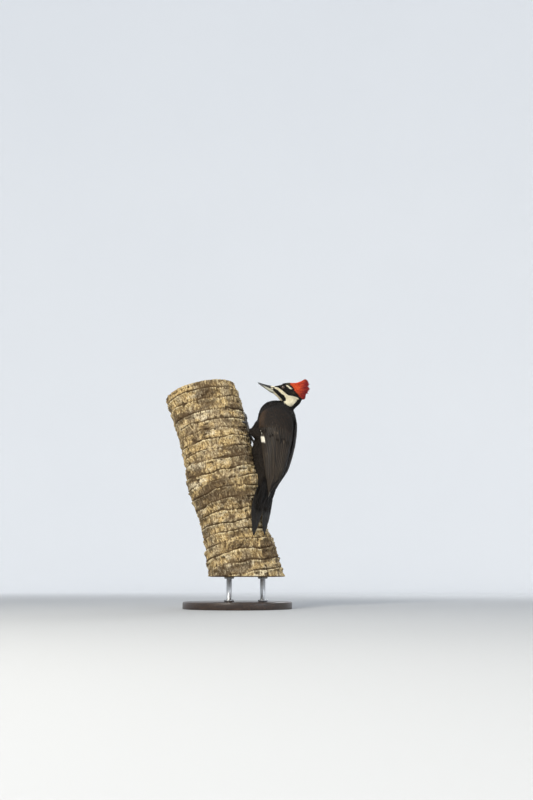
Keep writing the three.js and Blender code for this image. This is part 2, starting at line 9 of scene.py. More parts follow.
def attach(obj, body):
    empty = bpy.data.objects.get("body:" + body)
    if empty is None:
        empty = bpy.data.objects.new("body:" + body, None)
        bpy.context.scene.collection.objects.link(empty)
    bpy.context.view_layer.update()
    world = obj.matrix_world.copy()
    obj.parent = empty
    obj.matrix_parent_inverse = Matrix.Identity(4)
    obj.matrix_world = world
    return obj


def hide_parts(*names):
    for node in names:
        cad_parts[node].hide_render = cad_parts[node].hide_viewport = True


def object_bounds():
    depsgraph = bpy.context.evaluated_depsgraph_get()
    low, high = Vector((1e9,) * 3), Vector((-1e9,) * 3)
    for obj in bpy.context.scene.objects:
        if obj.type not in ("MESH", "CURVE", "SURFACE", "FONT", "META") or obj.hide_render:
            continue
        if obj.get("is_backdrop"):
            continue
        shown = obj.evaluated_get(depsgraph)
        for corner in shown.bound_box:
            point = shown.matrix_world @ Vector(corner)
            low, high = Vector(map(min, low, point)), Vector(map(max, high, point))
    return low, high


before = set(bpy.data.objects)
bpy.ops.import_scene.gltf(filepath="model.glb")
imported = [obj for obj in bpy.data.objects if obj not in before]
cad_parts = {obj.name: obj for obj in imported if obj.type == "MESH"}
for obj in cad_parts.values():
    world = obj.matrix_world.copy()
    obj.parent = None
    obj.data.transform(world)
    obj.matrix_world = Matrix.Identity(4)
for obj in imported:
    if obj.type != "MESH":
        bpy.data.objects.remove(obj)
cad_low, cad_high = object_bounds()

# ---- camera ---------------------------------------------------------------------------------------
# A long view from the floor's height, tilted up at the bird, so that its underside and the left side
# of its back show. The lens is for the long side of the picture.

MM = 0.001
CAMERA_AT = (66, -2078, 60)
CAMERA_RISE = 11.5
CAMERA_LENS = 40.21
lens = bpy.data.cameras.new("camera")
lens.lens = CAMERA_LENS
lens.sensor_width = 36
camera = bpy.data.objects.new("camera", lens)
camera.location = [c * MM for c in CAMERA_AT]
camera.rotation_euler = (math.radians(90 + CAMERA_RISE), 0, 0)
bpy.context.collection.objects.link(camera)
bpy.context.scene.camera = camera

# ---- room -----------------------------------------------------------------------------------------
# A pale floor that sweeps up into a pale backdrop all round, which glows faintly as painted light,
# and soft lamps: a broad key from the left in front, a weak fill from the right, and a rim from behind.


class Flow:
    """A value on its way through a material's nodes. Sums and products of it add Math nodes."""

    def __init__(self, tree, socket):
        self.tree = tree
        self.socket = socket

    def node(self, kind, settings, sockets, out=0):
        made = self.tree.nodes.new("ShaderNode" + kind)
        for name, value in settings.items():
            setattr(made, name, value)
        for name, value in sockets.items():
            if isinstance(value, Flow):
                self.tree.links.new(value.socket, made.inputs[name])
            elif isinstance(value, tuple) and made.inputs[name].type == "RGBA":
                made.inputs[name].default_value = (*value, 1)
            else:
                made.inputs[name].default_value = value
        return Flow(self.tree, made.outputs[out])

    def math(self, operation, first, second):
        return self.node("Math", {"operation": operation}, {0: first, 1: second})

    def __add__(self, other):
        return self.math("ADD", self, other)

    def __sub__(self, other):
        return self.math("SUBTRACT", self, other)

    def __rsub__(self, other):
        return self.math("SUBTRACT", other, self)

    def __mul__(self, other):
        return self.math("MULTIPLY", self, other)

    def __abs__(self):
        return self.math("ABSOLUTE", self, 0.0)

    __radd__ = __add__
    __rmul__ = __mul__

    def sine(self):
        return self.math("SINE", self, 0.0)

    def part(self, axis):
        return self.node("SeparateXYZ", {}, {"Vector": self}, axis)

    def between(self, low, high):
        """0 below low and 1 above high, eased in between."""
        sockets = {"Value": self, "From Min": low, "From Max": high}
        return self.node("MapRange", {"interpolation_type": "SMOOTHSTEP"}, sockets)

    def mix(self, first, second):
        """The first colour where this is 0, the second where it is 1."""
        return self.node("Mix", {"data_type": "RGBA"}, {0: self, 6: first, 7: second}, 2)

    def stretched(self, x, y, z):
        return self.node("VectorMath", {"operation": "MULTIPLY"}, {0: self, 1: (x, y, z)})

    def noise(self, scale, detail=3, roughness=0.5):
        sockets = {"Vector": self, "Scale": scale, "Detail": detail, "Roughness": roughness}
        return self.node("TexNoise", {}, sockets)


class Finish(Flow):
    """A material for one kind of surface, with its shader."""

    def __init__(self, name, roughness=0.5, **numbers):
        self.material = bpy.data.materials.new(name)
        self.material.use_nodes = True
        super().__init__(self.material.node_tree, None)
        self.shader = self.tree.nodes["Principled BSDF"]
        self.set("Roughness", roughness)
        for name, value in numbers.items():
            self.set(name.replace("_", " ").title().replace("Ior", "IOR"), value)

    def set(self, name, value):
        if isinstance(value, Flow):
            self.tree.links.new(value.socket, self.shader.inputs[name])
        else:
            self.shader.inputs[name].default_value = value

    def place(self):
        return self.node("TexCoord", {}, {}, "Object")

    def mark(self, name, out="Fac"):
        return self.node("Attribute", {"attribute_name": name}, {}, out)

    def bump(self, height, distance, strength=1.0):
        sockets = {"Height": height, "Distance": distance, "Strength": strength}
        self.set("Normal", self.node("Bump", {}, sockets))


def make_piece(name, finish, points, face_sets, marks=None, bake_map=None, rides=True):
    """One mesh from points in millimetres and sets of faces, with its marks and its bake map."""
    mesh = bpy.data.meshes.new(name)
    corners = np.concatenate([faces.ravel() for faces in face_sets]).astype(np.int32)
    sizes = np.concatenate([np.full(len(faces), faces.shape[1]) for faces in face_sets])
    mesh.vertices.add(len(points))
    mesh.vertices.foreach_set("co", (np.asarray(points) * MM).astype(np.float32).ravel())
    mesh.loops.add(len(corners))
    mesh.loops.foreach_set("vertex_index", corners)
    mesh.polygons.add(len(sizes))
    mesh.polygons.foreach_set("loop_start", (np.cumsum(sizes) - sizes).astype(np.int32))
    mesh.polygons.foreach_set("use_smooth", np.ones(len(sizes), bool))
    for mark, values in (marks or {}).items():
        values = np.asarray(values, np.float32)
        kind, field = ("FLOAT", "value") if values.ndim == 1 else ("FLOAT_VECTOR", "vector")
        mesh.attributes.new(mark, kind, "POINT").data.foreach_set(field, values.ravel())
    if bake_map is not None:
        layer = mesh.uv_layers.new(name="OFBake")
        layer.data.foreach_set("uv", bake_map[corners].astype(np.float32).ravel())
    mesh.update(calc_edges=True)
    mesh.validate()
    mesh.materials.append(finish.material)
    piece = bpy.data.objects.new(name, mesh)
    bpy.context.collection.objects.link(piece)
    if rides:
        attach(piece, "root")
    return piece


def stacked(*arrays):
    """Arrays of matching shapes side by side, along a new last axis."""
    return np.stack(np.broadcast_arrays(*arrays), -1)


def full_turn(steps):
    """Even turns once round, without the last, which would be the first again."""
    return np.linspace(0, 2 * math.pi, steps + 1)[:-1]


def round_faces(rows, sides):
    """Quads between rings of points, one ring in each row."""
    row, side = np.arange(rows - 1)[:, None] * sides, np.arange(sides)
    beside = (side + 1) % sides
    return stacked(row + side, row + beside, row + sides + beside, row + sides + side).reshape(-1, 4)


def tube_faces(rows, sides):
    """Quads between rings of points, and a face over each end."""
    ring = np.arange(sides)[None]
    return [round_faces(rows, sides), ring[:, ::-1], ring + (rows - 1) * sides]


def spun(radius, height, steps, middle=(0, 0)):
    """A ring of points for each radius and height, about an upright axis."""
    turn = full_turn(steps)
    radius = radius[:, None]
    x, y = middle[0] + radius * np.cos(turn), middle[1] + radius * np.sin(turn)
    return stacked(x, y, height[:, None]).reshape(-1, 3)


ROOM_RADIUS = 5200
SWEEP_RADIUS = 1600
ROOM_HEIGHT = 7600
ROOM_SIDES = 96
bend = np.linspace(0, math.pi / 2, 17)
sweep_start = ROOM_RADIUS - SWEEP_RADIUS
sweep_out = np.concatenate([[1, 1400, 3000], sweep_start + SWEEP_RADIUS * np.sin(bend), [ROOM_RADIUS]])
sweep_up = np.concatenate([[0, 0, 0], SWEEP_RADIUS * (1 - np.cos(bend)), [ROOM_HEIGHT]])
pale_paper = Finish("pale_paper", 0.95, specular_ior_level=0.1)
mottle = pale_paper.place().noise(0.8, 2)
outward = pale_paper.node("VectorMath", {"operation": "LENGTH"}, {0: pale_paper.place()}, "Value")
# Painted light: away from the middle the floor turns to a much paler wall, and the room glows faintly
# there, standing in for even light on the backdrop.
wall_painted_bright = mottle.mix((0.82, 0.83, 0.84), (0.86, 0.865, 0.87))
pale_floor = mottle.mix((0.40, 0.41, 0.42), (0.43, 0.44, 0.45))
pale_paper.set("Base Color", outward.between(0.8, 4.2).mix(pale_floor, wall_painted_bright))
pale_paper.set("Emission Color", outward.between(0.9, 3.4).mix((0.0, 0.0, 0.0), (0.93, 0.96, 1.0)))
pale_paper.set("Emission Strength", 0.12)
room_points = spun(sweep_out, sweep_up, ROOM_SIDES)
open_above = tube_faces(len(sweep_out), ROOM_SIDES)[:2]
room = make_piece("room", pale_paper, room_points, open_above, rides=False)
room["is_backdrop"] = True


def soft_lamp(name, place, aim, size, power, colour):
    light = bpy.data.lights.new(name, "AREA")
    light.shape = "DISK"
    light.size = size * MM
    light.energy = power
    light.color = colour
    lamp = bpy.data.objects.new(name, light)
    lamp.location = Vector(place) * MM
    lamp.rotation_euler = (Vector(aim) - Vector(place)).to_track_quat("-Z", "Y").to_euler()
    bpy.context.collection.objects.link(lamp)


BIRD_MIDDLE = (60, 0, 330)
soft_lamp("key", (-900, -1950, 1450), BIRD_MIDDLE, 600, 52, (1.0, 0.94, 0.83))
soft_lamp("fill", (1900, -1500, 700), BIRD_MIDDLE, 1500, 10, (0.92, 0.95, 1.0))
soft_lamp("rim", (900, 1900, 1700), BIRD_MIDDLE, 900, 16, (0.95, 0.97, 1.0))
world = bpy.data.worlds.new("studio")
world.use_nodes = True
sky = world.node_tree.nodes["Background"].inputs
sky["Color"].default_value = (0.88, 0.93, 1.0, 1)
sky["Strength"].default_value = 0.80
bpy.context.scene.world = world
bpy.context.scene.view_settings.view_transform = "Standard"

# ---- display base and rods ------------------------------------------------------------------------
# A turned disc of dark oiled hardwood with a rounded edge, and two brushed steel rods with collars
# that are screwed up into the perch.


def profile(*pairs):
    """A smooth line through pairs of place and size, flat beyond its ends."""
    at, size = np.array(pairs, float).T
    slope = np.diff(size) / np.diff(at)
    before, after = slope[:-1], slope[1:]
    same_way = before * after > 0
    inner = np.where(same_way, 2 * before * after / np.where(same_way, before + after, 1), 0)
    tangent = np.concatenate([slope[:1], inner, slope[-1:]])

    def smooth(place):
        place = np.clip(place, at[0], at[-1])
        i = np.clip(np.searchsorted(at, place, side="right") - 1, 0, len(at) - 2)
        width = at[i + 1] - at[i]
        t = (place - at[i]) / width
        rest = 1 - t
        return (
            size[i] * (1 + 2 * t) * rest**2
            + tangent[i] * width * t * rest**2
            + size[i + 1] * t**2 * (3 - 2 * t)
            - tangent[i + 1] * width * t**2 * rest
        )

    return smooth


def turned(name, outline, middle, steps, finish):
    """A turned piece from (radius, height) pairs, closed at both ends."""
    radius, height = np.array(outline, float).T
    return make_piece(name, finish, spun(radius, height, steps, middle), tube_faces(len(outline), steps))


def rounded(radius, height, edge, steps=6):
    """An edge rounded from the side to the top of a turned piece."""
    arc = np.linspace(0, math.pi / 2, steps + 1)
    return [(radius - edge + edge * math.cos(a), height - edge + edge * math.sin(a)) for a in arc]


GAP = 0.3
BASE_RADIUS = 124
BASE_HEIGHT = 16
BASE_EDGE = 3.2
ROD_RADIUS = 6
ROD_SPACING = 76
COLLAR_RADIUS = 11
COLLAR_HEIGHT = 5
PERCH_FOOT = np.array([19.5, -16, 72])

oiled_wood = Finish("oiled_wood", 0.42, coat_weight=0.35, coat_roughness=0.25)
along_grain = oiled_wood.place().stretched(14, 140, 140)
figure = along_grain.noise(1.0, 5, 0.6)
fine_grain = oiled_wood.place().stretched(40, 900, 900).noise(1.0, 3, 0.7)
wood_dark = figure.between(0.32, 0.68).mix((0.030, 0.015, 0.008), (0.095, 0.048, 0.024))
pores = fine_grain.between(0.42, 0.6) * 0.55
oiled_wood.set("Base Color", pores.mix((0.016, 0.008, 0.005), wood_dark))
oiled_wood.set("Roughness", 0.36 + figure * 0.2)
oiled_wood.bump(fine_grain, 0.0004, 0.35)
base_outline = [(0.5, 0), (60, 0), (BASE_RADIUS - 1.5, 0), (BASE_RADIUS - 0.4, 0.4), (BASE_RADIUS, 1.5)]
base_outline += rounded(BASE_RADIUS, BASE_HEIGHT, BASE_EDGE)
for inward, sunk in ((9, 0), (9.8, 0.8), (11, 0.8), (11.8, 0)):
    base_outline.append((BASE_RADIUS - inward, BASE_HEIGHT - sunk))
base_outline += [(60, BASE_HEIGHT), (0.5, BASE_HEIGHT)]
base = turned("display_base", base_outline, (0, 0), 160, oiled_wood)
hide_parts("stand_base")

brushed_steel = Finish("brushed_steel", 0.32, metallic=1.0)
lathe_lines = brushed_steel.place().stretched(30, 30, 2600).noise(1.0, 2)
brushed_steel.set("Base Color", lathe_lines.mix((0.42, 0.43, 0.44), (0.60, 0.61, 0.62)))
brushed_steel.set("Roughness", 0.24 + lathe_lines * 0.18)
brushed_steel.bump(lathe_lines, 0.0001, 0.3)
rod_low = BASE_HEIGHT
rod_high = PERCH_FOOT[2] - GAP
collar_top = rod_low + COLLAR_HEIGHT
rod_outline = [(0.5, rod_low), (COLLAR_RADIUS, rod_low), *rounded(COLLAR_RADIUS, collar_top, 1.2)]
rod_outline += [(ROD_RADIUS + 0.6, collar_top), (ROD_RADIUS, collar_top + 0.6)]
rod_outline += [(r, rod_low + rod_high - h) for r, h in reversed(rod_outline)]
for rod_number, side in ((1, -1), (2, 1)):
    rod_at = (PERCH_FOOT[0] + side * ROD_SPACING / 2, PERCH_FOOT[1])
    rod = turned(f"display_rod_{rod_number}", rod_outline, rod_at, 48, brushed_steel)
    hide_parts(f"stand_rod_{rod_number}")

# ---- perch ----------------------------------------------------------------------------------------
# A cut length of palm trunk: ringed by the scars of fallen leaves, with dry fibrous bark between
# them, split and flaking, and sawn across at both ends.

PERCH_AXIS = np.array([-0.232, 0.1225, 0.965])
PERCH_AXIS = PERCH_AXIS / np.linalg.norm(PERCH_AXIS)
PERCH_FRONT = np.array([0, -1, 0]) + PERCH_AXIS * PERCH_AXIS[1]
PERCH_FRONT = PERCH_FRONT / np.linalg.norm(PERCH_FRONT)
PERCH_SIDE = np.cross(PERCH_AXIS, PERCH_FRONT)
PERCH_LENGTH = 450
RING_SPACING = 24
RING_DEPTH = 1.1
perch_girth = profile(
    (-40, 86), (10, 84), (40, 81), (66, 80.5), (80, 77), (130, 76), (180, 80), (215, 83),
    (300, 82), (345, 82), (400, 84), (PERCH_LENGTH, 86),
)
# Height, turn, rise and the two reaches of each lump: a leaf-foot stub, a hollow and two swellings.
BARK_LUMPS = (
    (206, math.radians(62), 7, 15, math.radians(17)),
    (100, math.radians(105), -6, 26, math.radians(32)),
    (385, math.radians(-85), 3, 38, math.radians(55)),
    (228, math.radians(-85), 3.5, 35, math.radians(50)),
)
perch_bend = profile((385, 0), (425, 4.5), (PERCH_LENGTH, 9))


def perch_radius(t, psi):
    ring = np.cos(2 * math.pi * t / RING_SPACING + 0.5 * np.sin(psi * 2 + 1))
    oval = 0.012 * np.cos(2 * (psi - 0.6))
    radius = perch_girth(t) * (1 + oval) + RING_DEPTH * ring
    for at, turn, rise, reach_t, reach_psi in BARK_LUMPS:
        off = np.arctan2(np.sin(psi - turn), np.cos(psi - turn))
        radius = radius + rise * np.exp(-(((t - at) / reach_t) ** 2) - (off / reach_psi) ** 2)
    return radius


def on_perch(t, psi, off=0.0):
    """Points this far off the bark at height t and turn psi, as a last axis of three."""
    t, psi, off = (part[..., None] for part in np.broadcast_arrays(*map(np.float64, (t, psi, off))))
    across = np.cos(psi) * PERCH_FRONT + np.sin(psi) * PERCH_SIDE
    bent = np.array([1.0, 0, 0]) * perch_bend(t)
    return PERCH_FOOT + PERCH_AXIS * t - bent + across * (perch_radius(t, psi) + off)


def grain_field(seed, rows, columns, turn, height):
    """Smooth chance values over a sheet that closes on itself as it turns."""
    lattice = np.random.default_rng(seed).random((columns, rows + 2))
    x = np.mod(turn, 1) * columns
    y = np.clip(height, 0, 1) * rows
    i, j = np.floor(x).astype(int), np.floor(y).astype(int)
    u, v = x - i, y - j
    u, v = u * u * (3 - 2 * u), v * v * (3 - 2 * v)
    i, beside = i % columns, (i + 1) % columns
    low = lattice[i, j] * (1 - u) + lattice[beside, j] * u
    high = lattice[i, j + 1] * (1 - u) + lattice[beside, j + 1] * u
    return low * (1 - v) + high * v


BARK_ROUND = 460
BARK_ROWS = 420
bark_psi = full_turn(BARK_ROUND)[None, :]
bark_share = np.linspace(0, 1, BARK_ROWS)[:, None]
lowest_t = np.zeros_like(bark_psi)
for _ in range(6):
    lean = PERCH_FRONT[2] * np.cos(bark_psi) + PERCH_SIDE[2] * np.sin(bark_psi)
    lowest_t = -perch_radius(lowest_t, bark_psi) * lean / PERCH_AXIS[2]
bark_t = lowest_t + bark_share * (PERCH_LENGTH - lowest_t)
turn_share = bark_psi / (2 * math.pi) + 0 * bark_t
height_share = (bark_t + 60) / (PERCH_LENGTH + 60)
wander = grain_field(11, 14, 7, turn_share, height_share) - 0.5
sway = grain_field(18, 40, 22, turn_share, height_share) - 0.5
patch = grain_field(12, 34, 26, turn_share, height_share)
blotch = grain_field(16, 90, 70, turn_share, height_share)
speck = grain_field(15, 200, 230, turn_share, height_share)
# The scar of each fallen leaf: a thin raised lip with a groove under it, broken here and there.
ring_place = bark_t / RING_SPACING + 0.45 * wander + 0.22 * sway + 0.10 * np.sin(bark_psi * 2 + 0.6)
ring_phase = np.mod(ring_place, 1)
ring_number = np.floor(ring_place)
whole = np.clip((grain_field(19, 30, 16, turn_share, height_share) - 0.28) * 2.6, 0, 1)
ragged = grain_field(21, 50, 120, turn_share, height_share) - 0.5
lip = np.exp(-(((ring_phase - 0.84 - 0.10 * ragged) / 0.10) ** 2)) * (0.35 + 0.65 * whole)
groove = sum(np.exp(-(((ring_phase - at) / 0.045) ** 2)) for at in (0.985, -0.015))
groove = np.clip(groove, 0, 1) * (0.25 + 0.75 * whole)
belly = np.sin(math.pi * ring_phase) ** 0.7
half_lip = np.exp(-(((ring_phase - 0.42 - 0.12 * sway) / 0.04) ** 2))
half_lip = half_lip * np.clip((patch - 0.45) * 3, 0, 1)
# Short slanting fibres, their slant another way in each band, that fray out over the lips.
slant = np.sin(ring_number * 2.4) * 0.010
fibre_turn = turn_share + (ring_phase - 0.5) * slant + 0.006 * sway
fibre = grain_field(13, 52, 132, fibre_turn, height_share)
thread = grain_field(14, 96, 205, fibre_turn, height_share)
comb = grain_field(22, 74, 190, fibre_turn + 0.003 * np.sin(ring_number * 5.1), height_share)
fibres = np.abs(fibre - 0.5) * 2
chip = np.clip((blotch - 0.70) * 6, 0, 1) * np.clip((patch - 0.35) * 3, 0, 1)
# Each part of the relief, in millimetres off the plain trunk.
relief = (
    1.6 * (belly - 0.6) * (0.5 + 0.8 * patch)
    + 2.0 * lip * (0.55 + 0.9 * comb)
    + 1.0 * half_lip
    - 2.3 * groove
    + 2.2 * (fibres - 0.45) * (0.4 + 1.0 * patch)
    + 1.7 * (comb - 0.5)
    + 1.0 * (thread - 0.5)
    + 1.1 * (speck - 0.5)
    + 2.6 * (patch - 0.5)
    - 2.2 * chip
    - 0.8
)
sides = on_perch(bark_t, bark_psi, np.clip(relief, -5.0, 2.0))
# The saw cuts: rings of points in to the middle, each end level with its own cut.
CUT_RINGS = (0.985, 0.93, 0.82, 0.68, 0.54, 0.40, 0.26, 0.12, 0.02)
saw_marks = np.random.default_rng(17)
cut_ends = []
for end, away in ((sides[0], -1.0), (sides[-1], 1.0)):
    middle = end.mean(0)
    facing = PERCH_AXIS if away > 0 else np.array([0.0, 0.0, -1.0])
    rings = []
    for share in CUT_RINGS:
        ring = middle + (end - middle) * share
        lift = 0.9 * (share < 0.95) + saw_marks.normal(0, 0.12, BARK_ROUND)
        level = ring - facing * ((ring - middle) @ facing)[:, None]
        rings.append(level + facing * lift[:, None])
    cut_ends.append(rings)
perch_points = np.concatenate([*cut_ends[0][::-1], *sides, *cut_ends[1]])
perch_rows = BARK_ROWS + 2 * len(CUT_RINGS)
from_heart = np.repeat(CUT_RINGS, BARK_ROUND) ** 3


def with_cuts(values, low_cut, high_cut):
    """A mark for the whole perch: the low cut, the bark and the high cut."""
    cuts = [np.broadcast_to(cut, from_heart.shape) for cut in (low_cut, high_cut)]
    return np.concatenate([cuts[0], np.broadcast_to(values, bark_t.shape).ravel(), cuts[1]])


off_axis = perch_points - PERCH_FOOT
grain_place = stacked(off_axis @ PERCH_FRONT, off_axis @ PERCH_SIDE, off_axis @ PERCH_AXIS) * MM
# Painted highlight: the raised lips, half lips and fibres are painted paler, where light catches them.
lip_highlight = (lip + 0.6 * half_lip) * (0.2 + 1.2 * comb) + 0.7 * (fibres - 0.5) + 0.5 * (comb - 0.55)
# Painted shade: the bark is darkened in the grooves, the chips, the low fibres and a band beside each
# groove, where shade falls.
below = np.clip(0.22 - ring_phase, 0, 1) / 0.22
hollow_shade = 0.8 * groove + chip + 0.55 * below * whole
hollow_shade = hollow_shade + 1.5 * np.clip(0.30 - fibres, 0, 1) + 1.6 * np.clip(0.36 - comb, 0, 1)
# Damp dark stains and bleached stretches: height, turn in degrees, and the reach of each both ways.
STAINS = (
    (163, 10, 14, 75), (276, 38, 13, 24), (44, 34, 22, 34), (52, 5, 12, 30), (205, -30, 8, 45),
    (330, 60, 9, 22),
)
BLEACHED = (
    (103, 5, 19, 55), (2, 10, 17, 50), (52, 64, 9, 10), (283, -25, 6, 26), (228, -50, 9, 20),
    (215, 30, 10, 24), (372, -20, 16, 35),
)


def spots_cover(spots):
    """How strongly a few soft spots cover the bark, from 0 to 1."""
    cover = 0 * bark_t
    for at, turn, reach_t, reach_turn in spots:
        off = bark_psi - math.radians(turn)
        off = np.degrees(np.arctan2(np.sin(off), np.cos(off)))
        cover = cover + np.exp(-(((bark_t + 22 * wander - at) / reach_t) ** 2) - (off / reach_turn) ** 2)
    return np.clip(cover, 0, 1)


perch_marks = {
    "stain": with_cuts(spots_cover(STAINS), 0.0, 0.0),
    "bleach": with_cuts(spots_cover(BLEACHED), 0.0, 0.0),
    "grain": grain_place,
    "lip_highlight": with_cuts(np.clip(lip_highlight, 0, 1), 0.0, 0.0),
    "hollow_shade": with_cuts(np.clip(hollow_shade, 0, 1), 0.0, 0.0),
    "relief": with_cuts(relief, 0.0, 0.0),
    "sawn": with_cuts(0.0, 1.0, 1.0),
    "heart": with_cuts(1.0, np.repeat(CUT_RINGS[::-1], BARK_ROUND) ** 3, from_heart),
}
palm_bark = Finish("palm_bark", 0.88, specular_ior_level=0.2)
grain = palm_bark.mark("grain", "Vector")
streaks = grain.stretched(360, 360, 75).noise(1.0, 4, 0.65)
broad = grain.stretched(30, 30, 24).noise(1.0, 4, 0.6)
flecks = grain.stretched(330, 330, 250).noise(1.0, 3, 0.6)
threads = grain.stretched(1100, 1100, 150).noise(1.0, 3, 0.7)
tan = streaks.between(0.36, 0.64).mix((0.372, 0.245, 0.099), (0.730, 0.538, 0.245))
grey_tan = (broad.between(0.44, 0.62) * 0.8).mix(tan, (0.350, 0.280, 0.180))
pale_tan = (flecks.between(0.52, 0.66) * 0.8).mix(grey_tan, (0.700, 0.570, 0.330))
sun_cloud = grain.stretched(23, 23, 44).noise(1.0, 4, 0.65)
sunned = (sun_cloud + palm_bark.mark("bleach") * 0.12).between(0.54, 0.66)
bleached = (sunned * 0.65).mix(pale_tan, (0.880, 0.780, 0.560))
# Painted highlight on the raised lips.
highlighted_lips = (palm_bark.mark("lip_highlight") * 0.75).mix(bleached, (0.920, 0.790, 0.500))
dark_flecks = flecks.between(0.46, 0.36) * 0.8
spotted = dark_flecks.mix(highlighted_lips, (0.125, 0.078, 0.036))
combed = (threads.between(0.50, 0.36) * 0.65).mix(spotted, (0.150, 0.098, 0.048))
damp = palm_bark.mark("stain") * grain.stretched(60, 60, 60).noise(1.0, 4, 0.65).between(0.36, 0.56)
age_cloud = grain.stretched(19, 19, 30).noise(1.0, 3, 0.6)
aged = (age_cloud + damp * 0.24 - palm_bark.mark("bleach") * 0.08).between(0.49, 0.61)
weather = (aged * (0.56 + streaks.between(0.40, 0.56) * 0.40)).mix(combed, (0.092, 0.062, 0.035))
# Painted shade: the bark is darkened where its relief sinks low, and darker still in the hollows.
sunk = palm_bark.mark("relief").between(-0.4, -2.4) * 0.75
shaded = sunk.mix(weather, (0.085, 0.052, 0.025))
shaded_hollows = (palm_bark.mark("hollow_shade") * 0.8).mix(shaded, (0.062, 0.038, 0.018))
bundles = grain.stretched(420, 420, 20).noise(1.0, 2, 0.5).between(0.54, 0.60)
pith = palm_bark.mark("heart").mix((0.430, 0.300, 0.170), (0.210, 0.128, 0.066))
saw_lines = grain.stretched(60, 700, 60).noise(1.0, 2).between(0.45, 0.62) * 0.35
cut_lines = saw_lines.mix(pith, (0.300, 0.200, 0.110))
sawn_wood = (bundles * (0.35 + palm_bark.mark("heart") * 0.6)).mix(cut_lines, (0.085, 0.048, 0.024))
palm_bark.set("Base Color", palm_bark.mark("sawn").mix(shaded_hollows, sawn_wood))
palm_bark.set("Roughness", 0.80 + flecks * 0.18)
palm_bark.bump(threads * 0.7 + flecks * 0.5 + streaks * 0.5, 0.0014, 1.0)
perch_faces = tube_faces(perch_rows, BARK_ROUND)
perch = make_piece("perch_bark", palm_bark, perch_points, perch_faces, perch_marks)
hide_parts("perch_trunk")

# ---- skin -----------------------------------------------------------------------------------------
# The bird's body under its feathers: trunk, neck, skull and legs are modelled in one closed piece,
# as deep inside the plumage as the feathers stand off it, with sockets and rims for the eyes.


def unit(vectors):
    vectors = np.asarray(vectors, float)
    return vectors / np.maximum(np.linalg.norm(vectors, axis=-1, keepdims=True), 1e-9)


def between(value, low, high):
    """0 below low and 1 above high, eased in between."""
    share = np.clip((value - low) / (high - low), 0, 1)
    return share * share * (3 - 2 * share)


# The bird's own axes: its left, its back and its spine, and the head's forward, left and up.
BODY_CENTRE = np.array([88.2, -8, 369])
spine = unit([math.tan(math.radians(10.2)), math.tan(math.radians(9.8)), 1])
back = np.array([math.sin(math.radians(68)), -math.cos(math.radians(68)), 0])
back = unit(back - spine * (back @ spine))
body_axes = np.array([np.cross(back, spine), back, spine])
HEAD_TURN = math.radians(8.2)
HEAD_RISE = math.radians(11)
level_up = np.array([0, -math.sin(HEAD_TURN), math.cos(HEAD_TURN)])
level_right = np.array([1.0, 0, 0])
head_forward = level_up * math.sin(HEAD_RISE) - level_right * math.cos(HEAD_RISE)
head_up = level_up * math.cos(HEAD_RISE) + level_right * math.sin(HEAD_RISE)
head_axes = np.array([head_forward, np.cross(head_up, head_forward), head_up])
HEAD_CENTRE = BODY_CENTRE + np.array([14.4, -3.8, 145.7]) @ body_axes


def from_body(points):
    return BODY_CENTRE + np.asarray(points, float) @ body_axes


def to_body(points):
    return (points - BODY_CENTRE) @ body_axes.T


def from_head(points):
    return HEAD_CENTRE + np.asarray(points, float) @ head_axes


def to_head(points):
    return (points - HEAD_CENTRE) @ head_axes.T


BODY_COAT = 2.8
NECK_COAT = 2.4
HEAD_COAT = 1.7
CREST_COAT = 1.6
LEG_COAT = 2.2
torso_middle = profile(
    (-122, -12), (-100, -9), (-60, -5.8), (0, -7.5), (50, -9.7), (84, -13), (101, -14), (113.5, -10),
)
torso_depth = profile(
    (-122, 5), (-108, 13), (-80, 27.8), (-40, 40.2), (0, 44.5), (34, 45.8), (62, 45.5), (84, 42.5),
    (101, 32.5), (113.5, 12),
)
torso_width = profile(
    (-122, 12), (-108, 20), (-80, 29), (-40, 38), (0, 43), (34, 44.5), (62, 44.5), (84, 41.5),
    (101, 32.5), (113.5, 12),
)
neck_middle = profile((70, -8), (96, 4.5), (113, 12.5), (134, 12))
neck_depth = profile((70, 28), (96, 17), (113, 20), (134, 17))
neck_width = profile((70, 30), (96, 25), (113, 20), (134, 13))
head_top = profile((-43, 5), (-34, 13), (-20, 15), (-6, 12), (8, 5), (23, -1))
head_bottom = profile((-43, -24), (-34, -36), (-20, -39), (-6, -36.5), (8, -25.5), (23, -17.5))
head_width = profile((-43, 5), (-36, 13), (-24, 19), (-12, 19.5), (0, 16.5), (12, 11.5), (23, 6.8))
crest_top = profile((-63, 16), (-51, 28.5), (-43, 22), (-34, 18), (-20, 15.5), (-4, 12.5), (4, 9))
crest_bottom = profile((-63, 4), (-58, -12), (-51, -20), (-34, -19), (-16, 6), (4, 5))
crest_width = profile((-63, 1.2), (-50, 5), (-34, 12), (-16, 12), (4, 5))
SKIN_SIDES = 72


def rings(stations, place):
    """A closed loft: one ring of points at each station, by turn."""
    points = place(stations[:, None], full_turn(SKIN_SIDES)[None, :])
    return points.reshape(-1, 3), tube_faces(len(stations), SKIN_SIDES)


def belly_puff(z, turn):
    """How far the low belly is puffed out until it rests on the bark."""
    return 6 * np.exp(-(((z + 14) / 22) ** 2)) * np.maximum(-np.cos(turn), 0) ** 2


def torso_outside(x, y, z):
    """The place of a point across the torso: 1 on its outline, less inside it."""
    off = y - torso_middle(z)
    return np.hypot(x / torso_width(z), off / (torso_depth(z) + belly_puff(z, np.arctan2(x, off))))


def upright(middle, depth, width, inset):
    def place(z, turn):
        x = np.maximum(width(z) - inset, 1) * np.sin(turn)
        y = middle(z) + np.maximum(depth(z) - inset, 1) * np.cos(turn) - belly_puff(z, turn)
        return from_body(stacked(x, y, z))

    return place


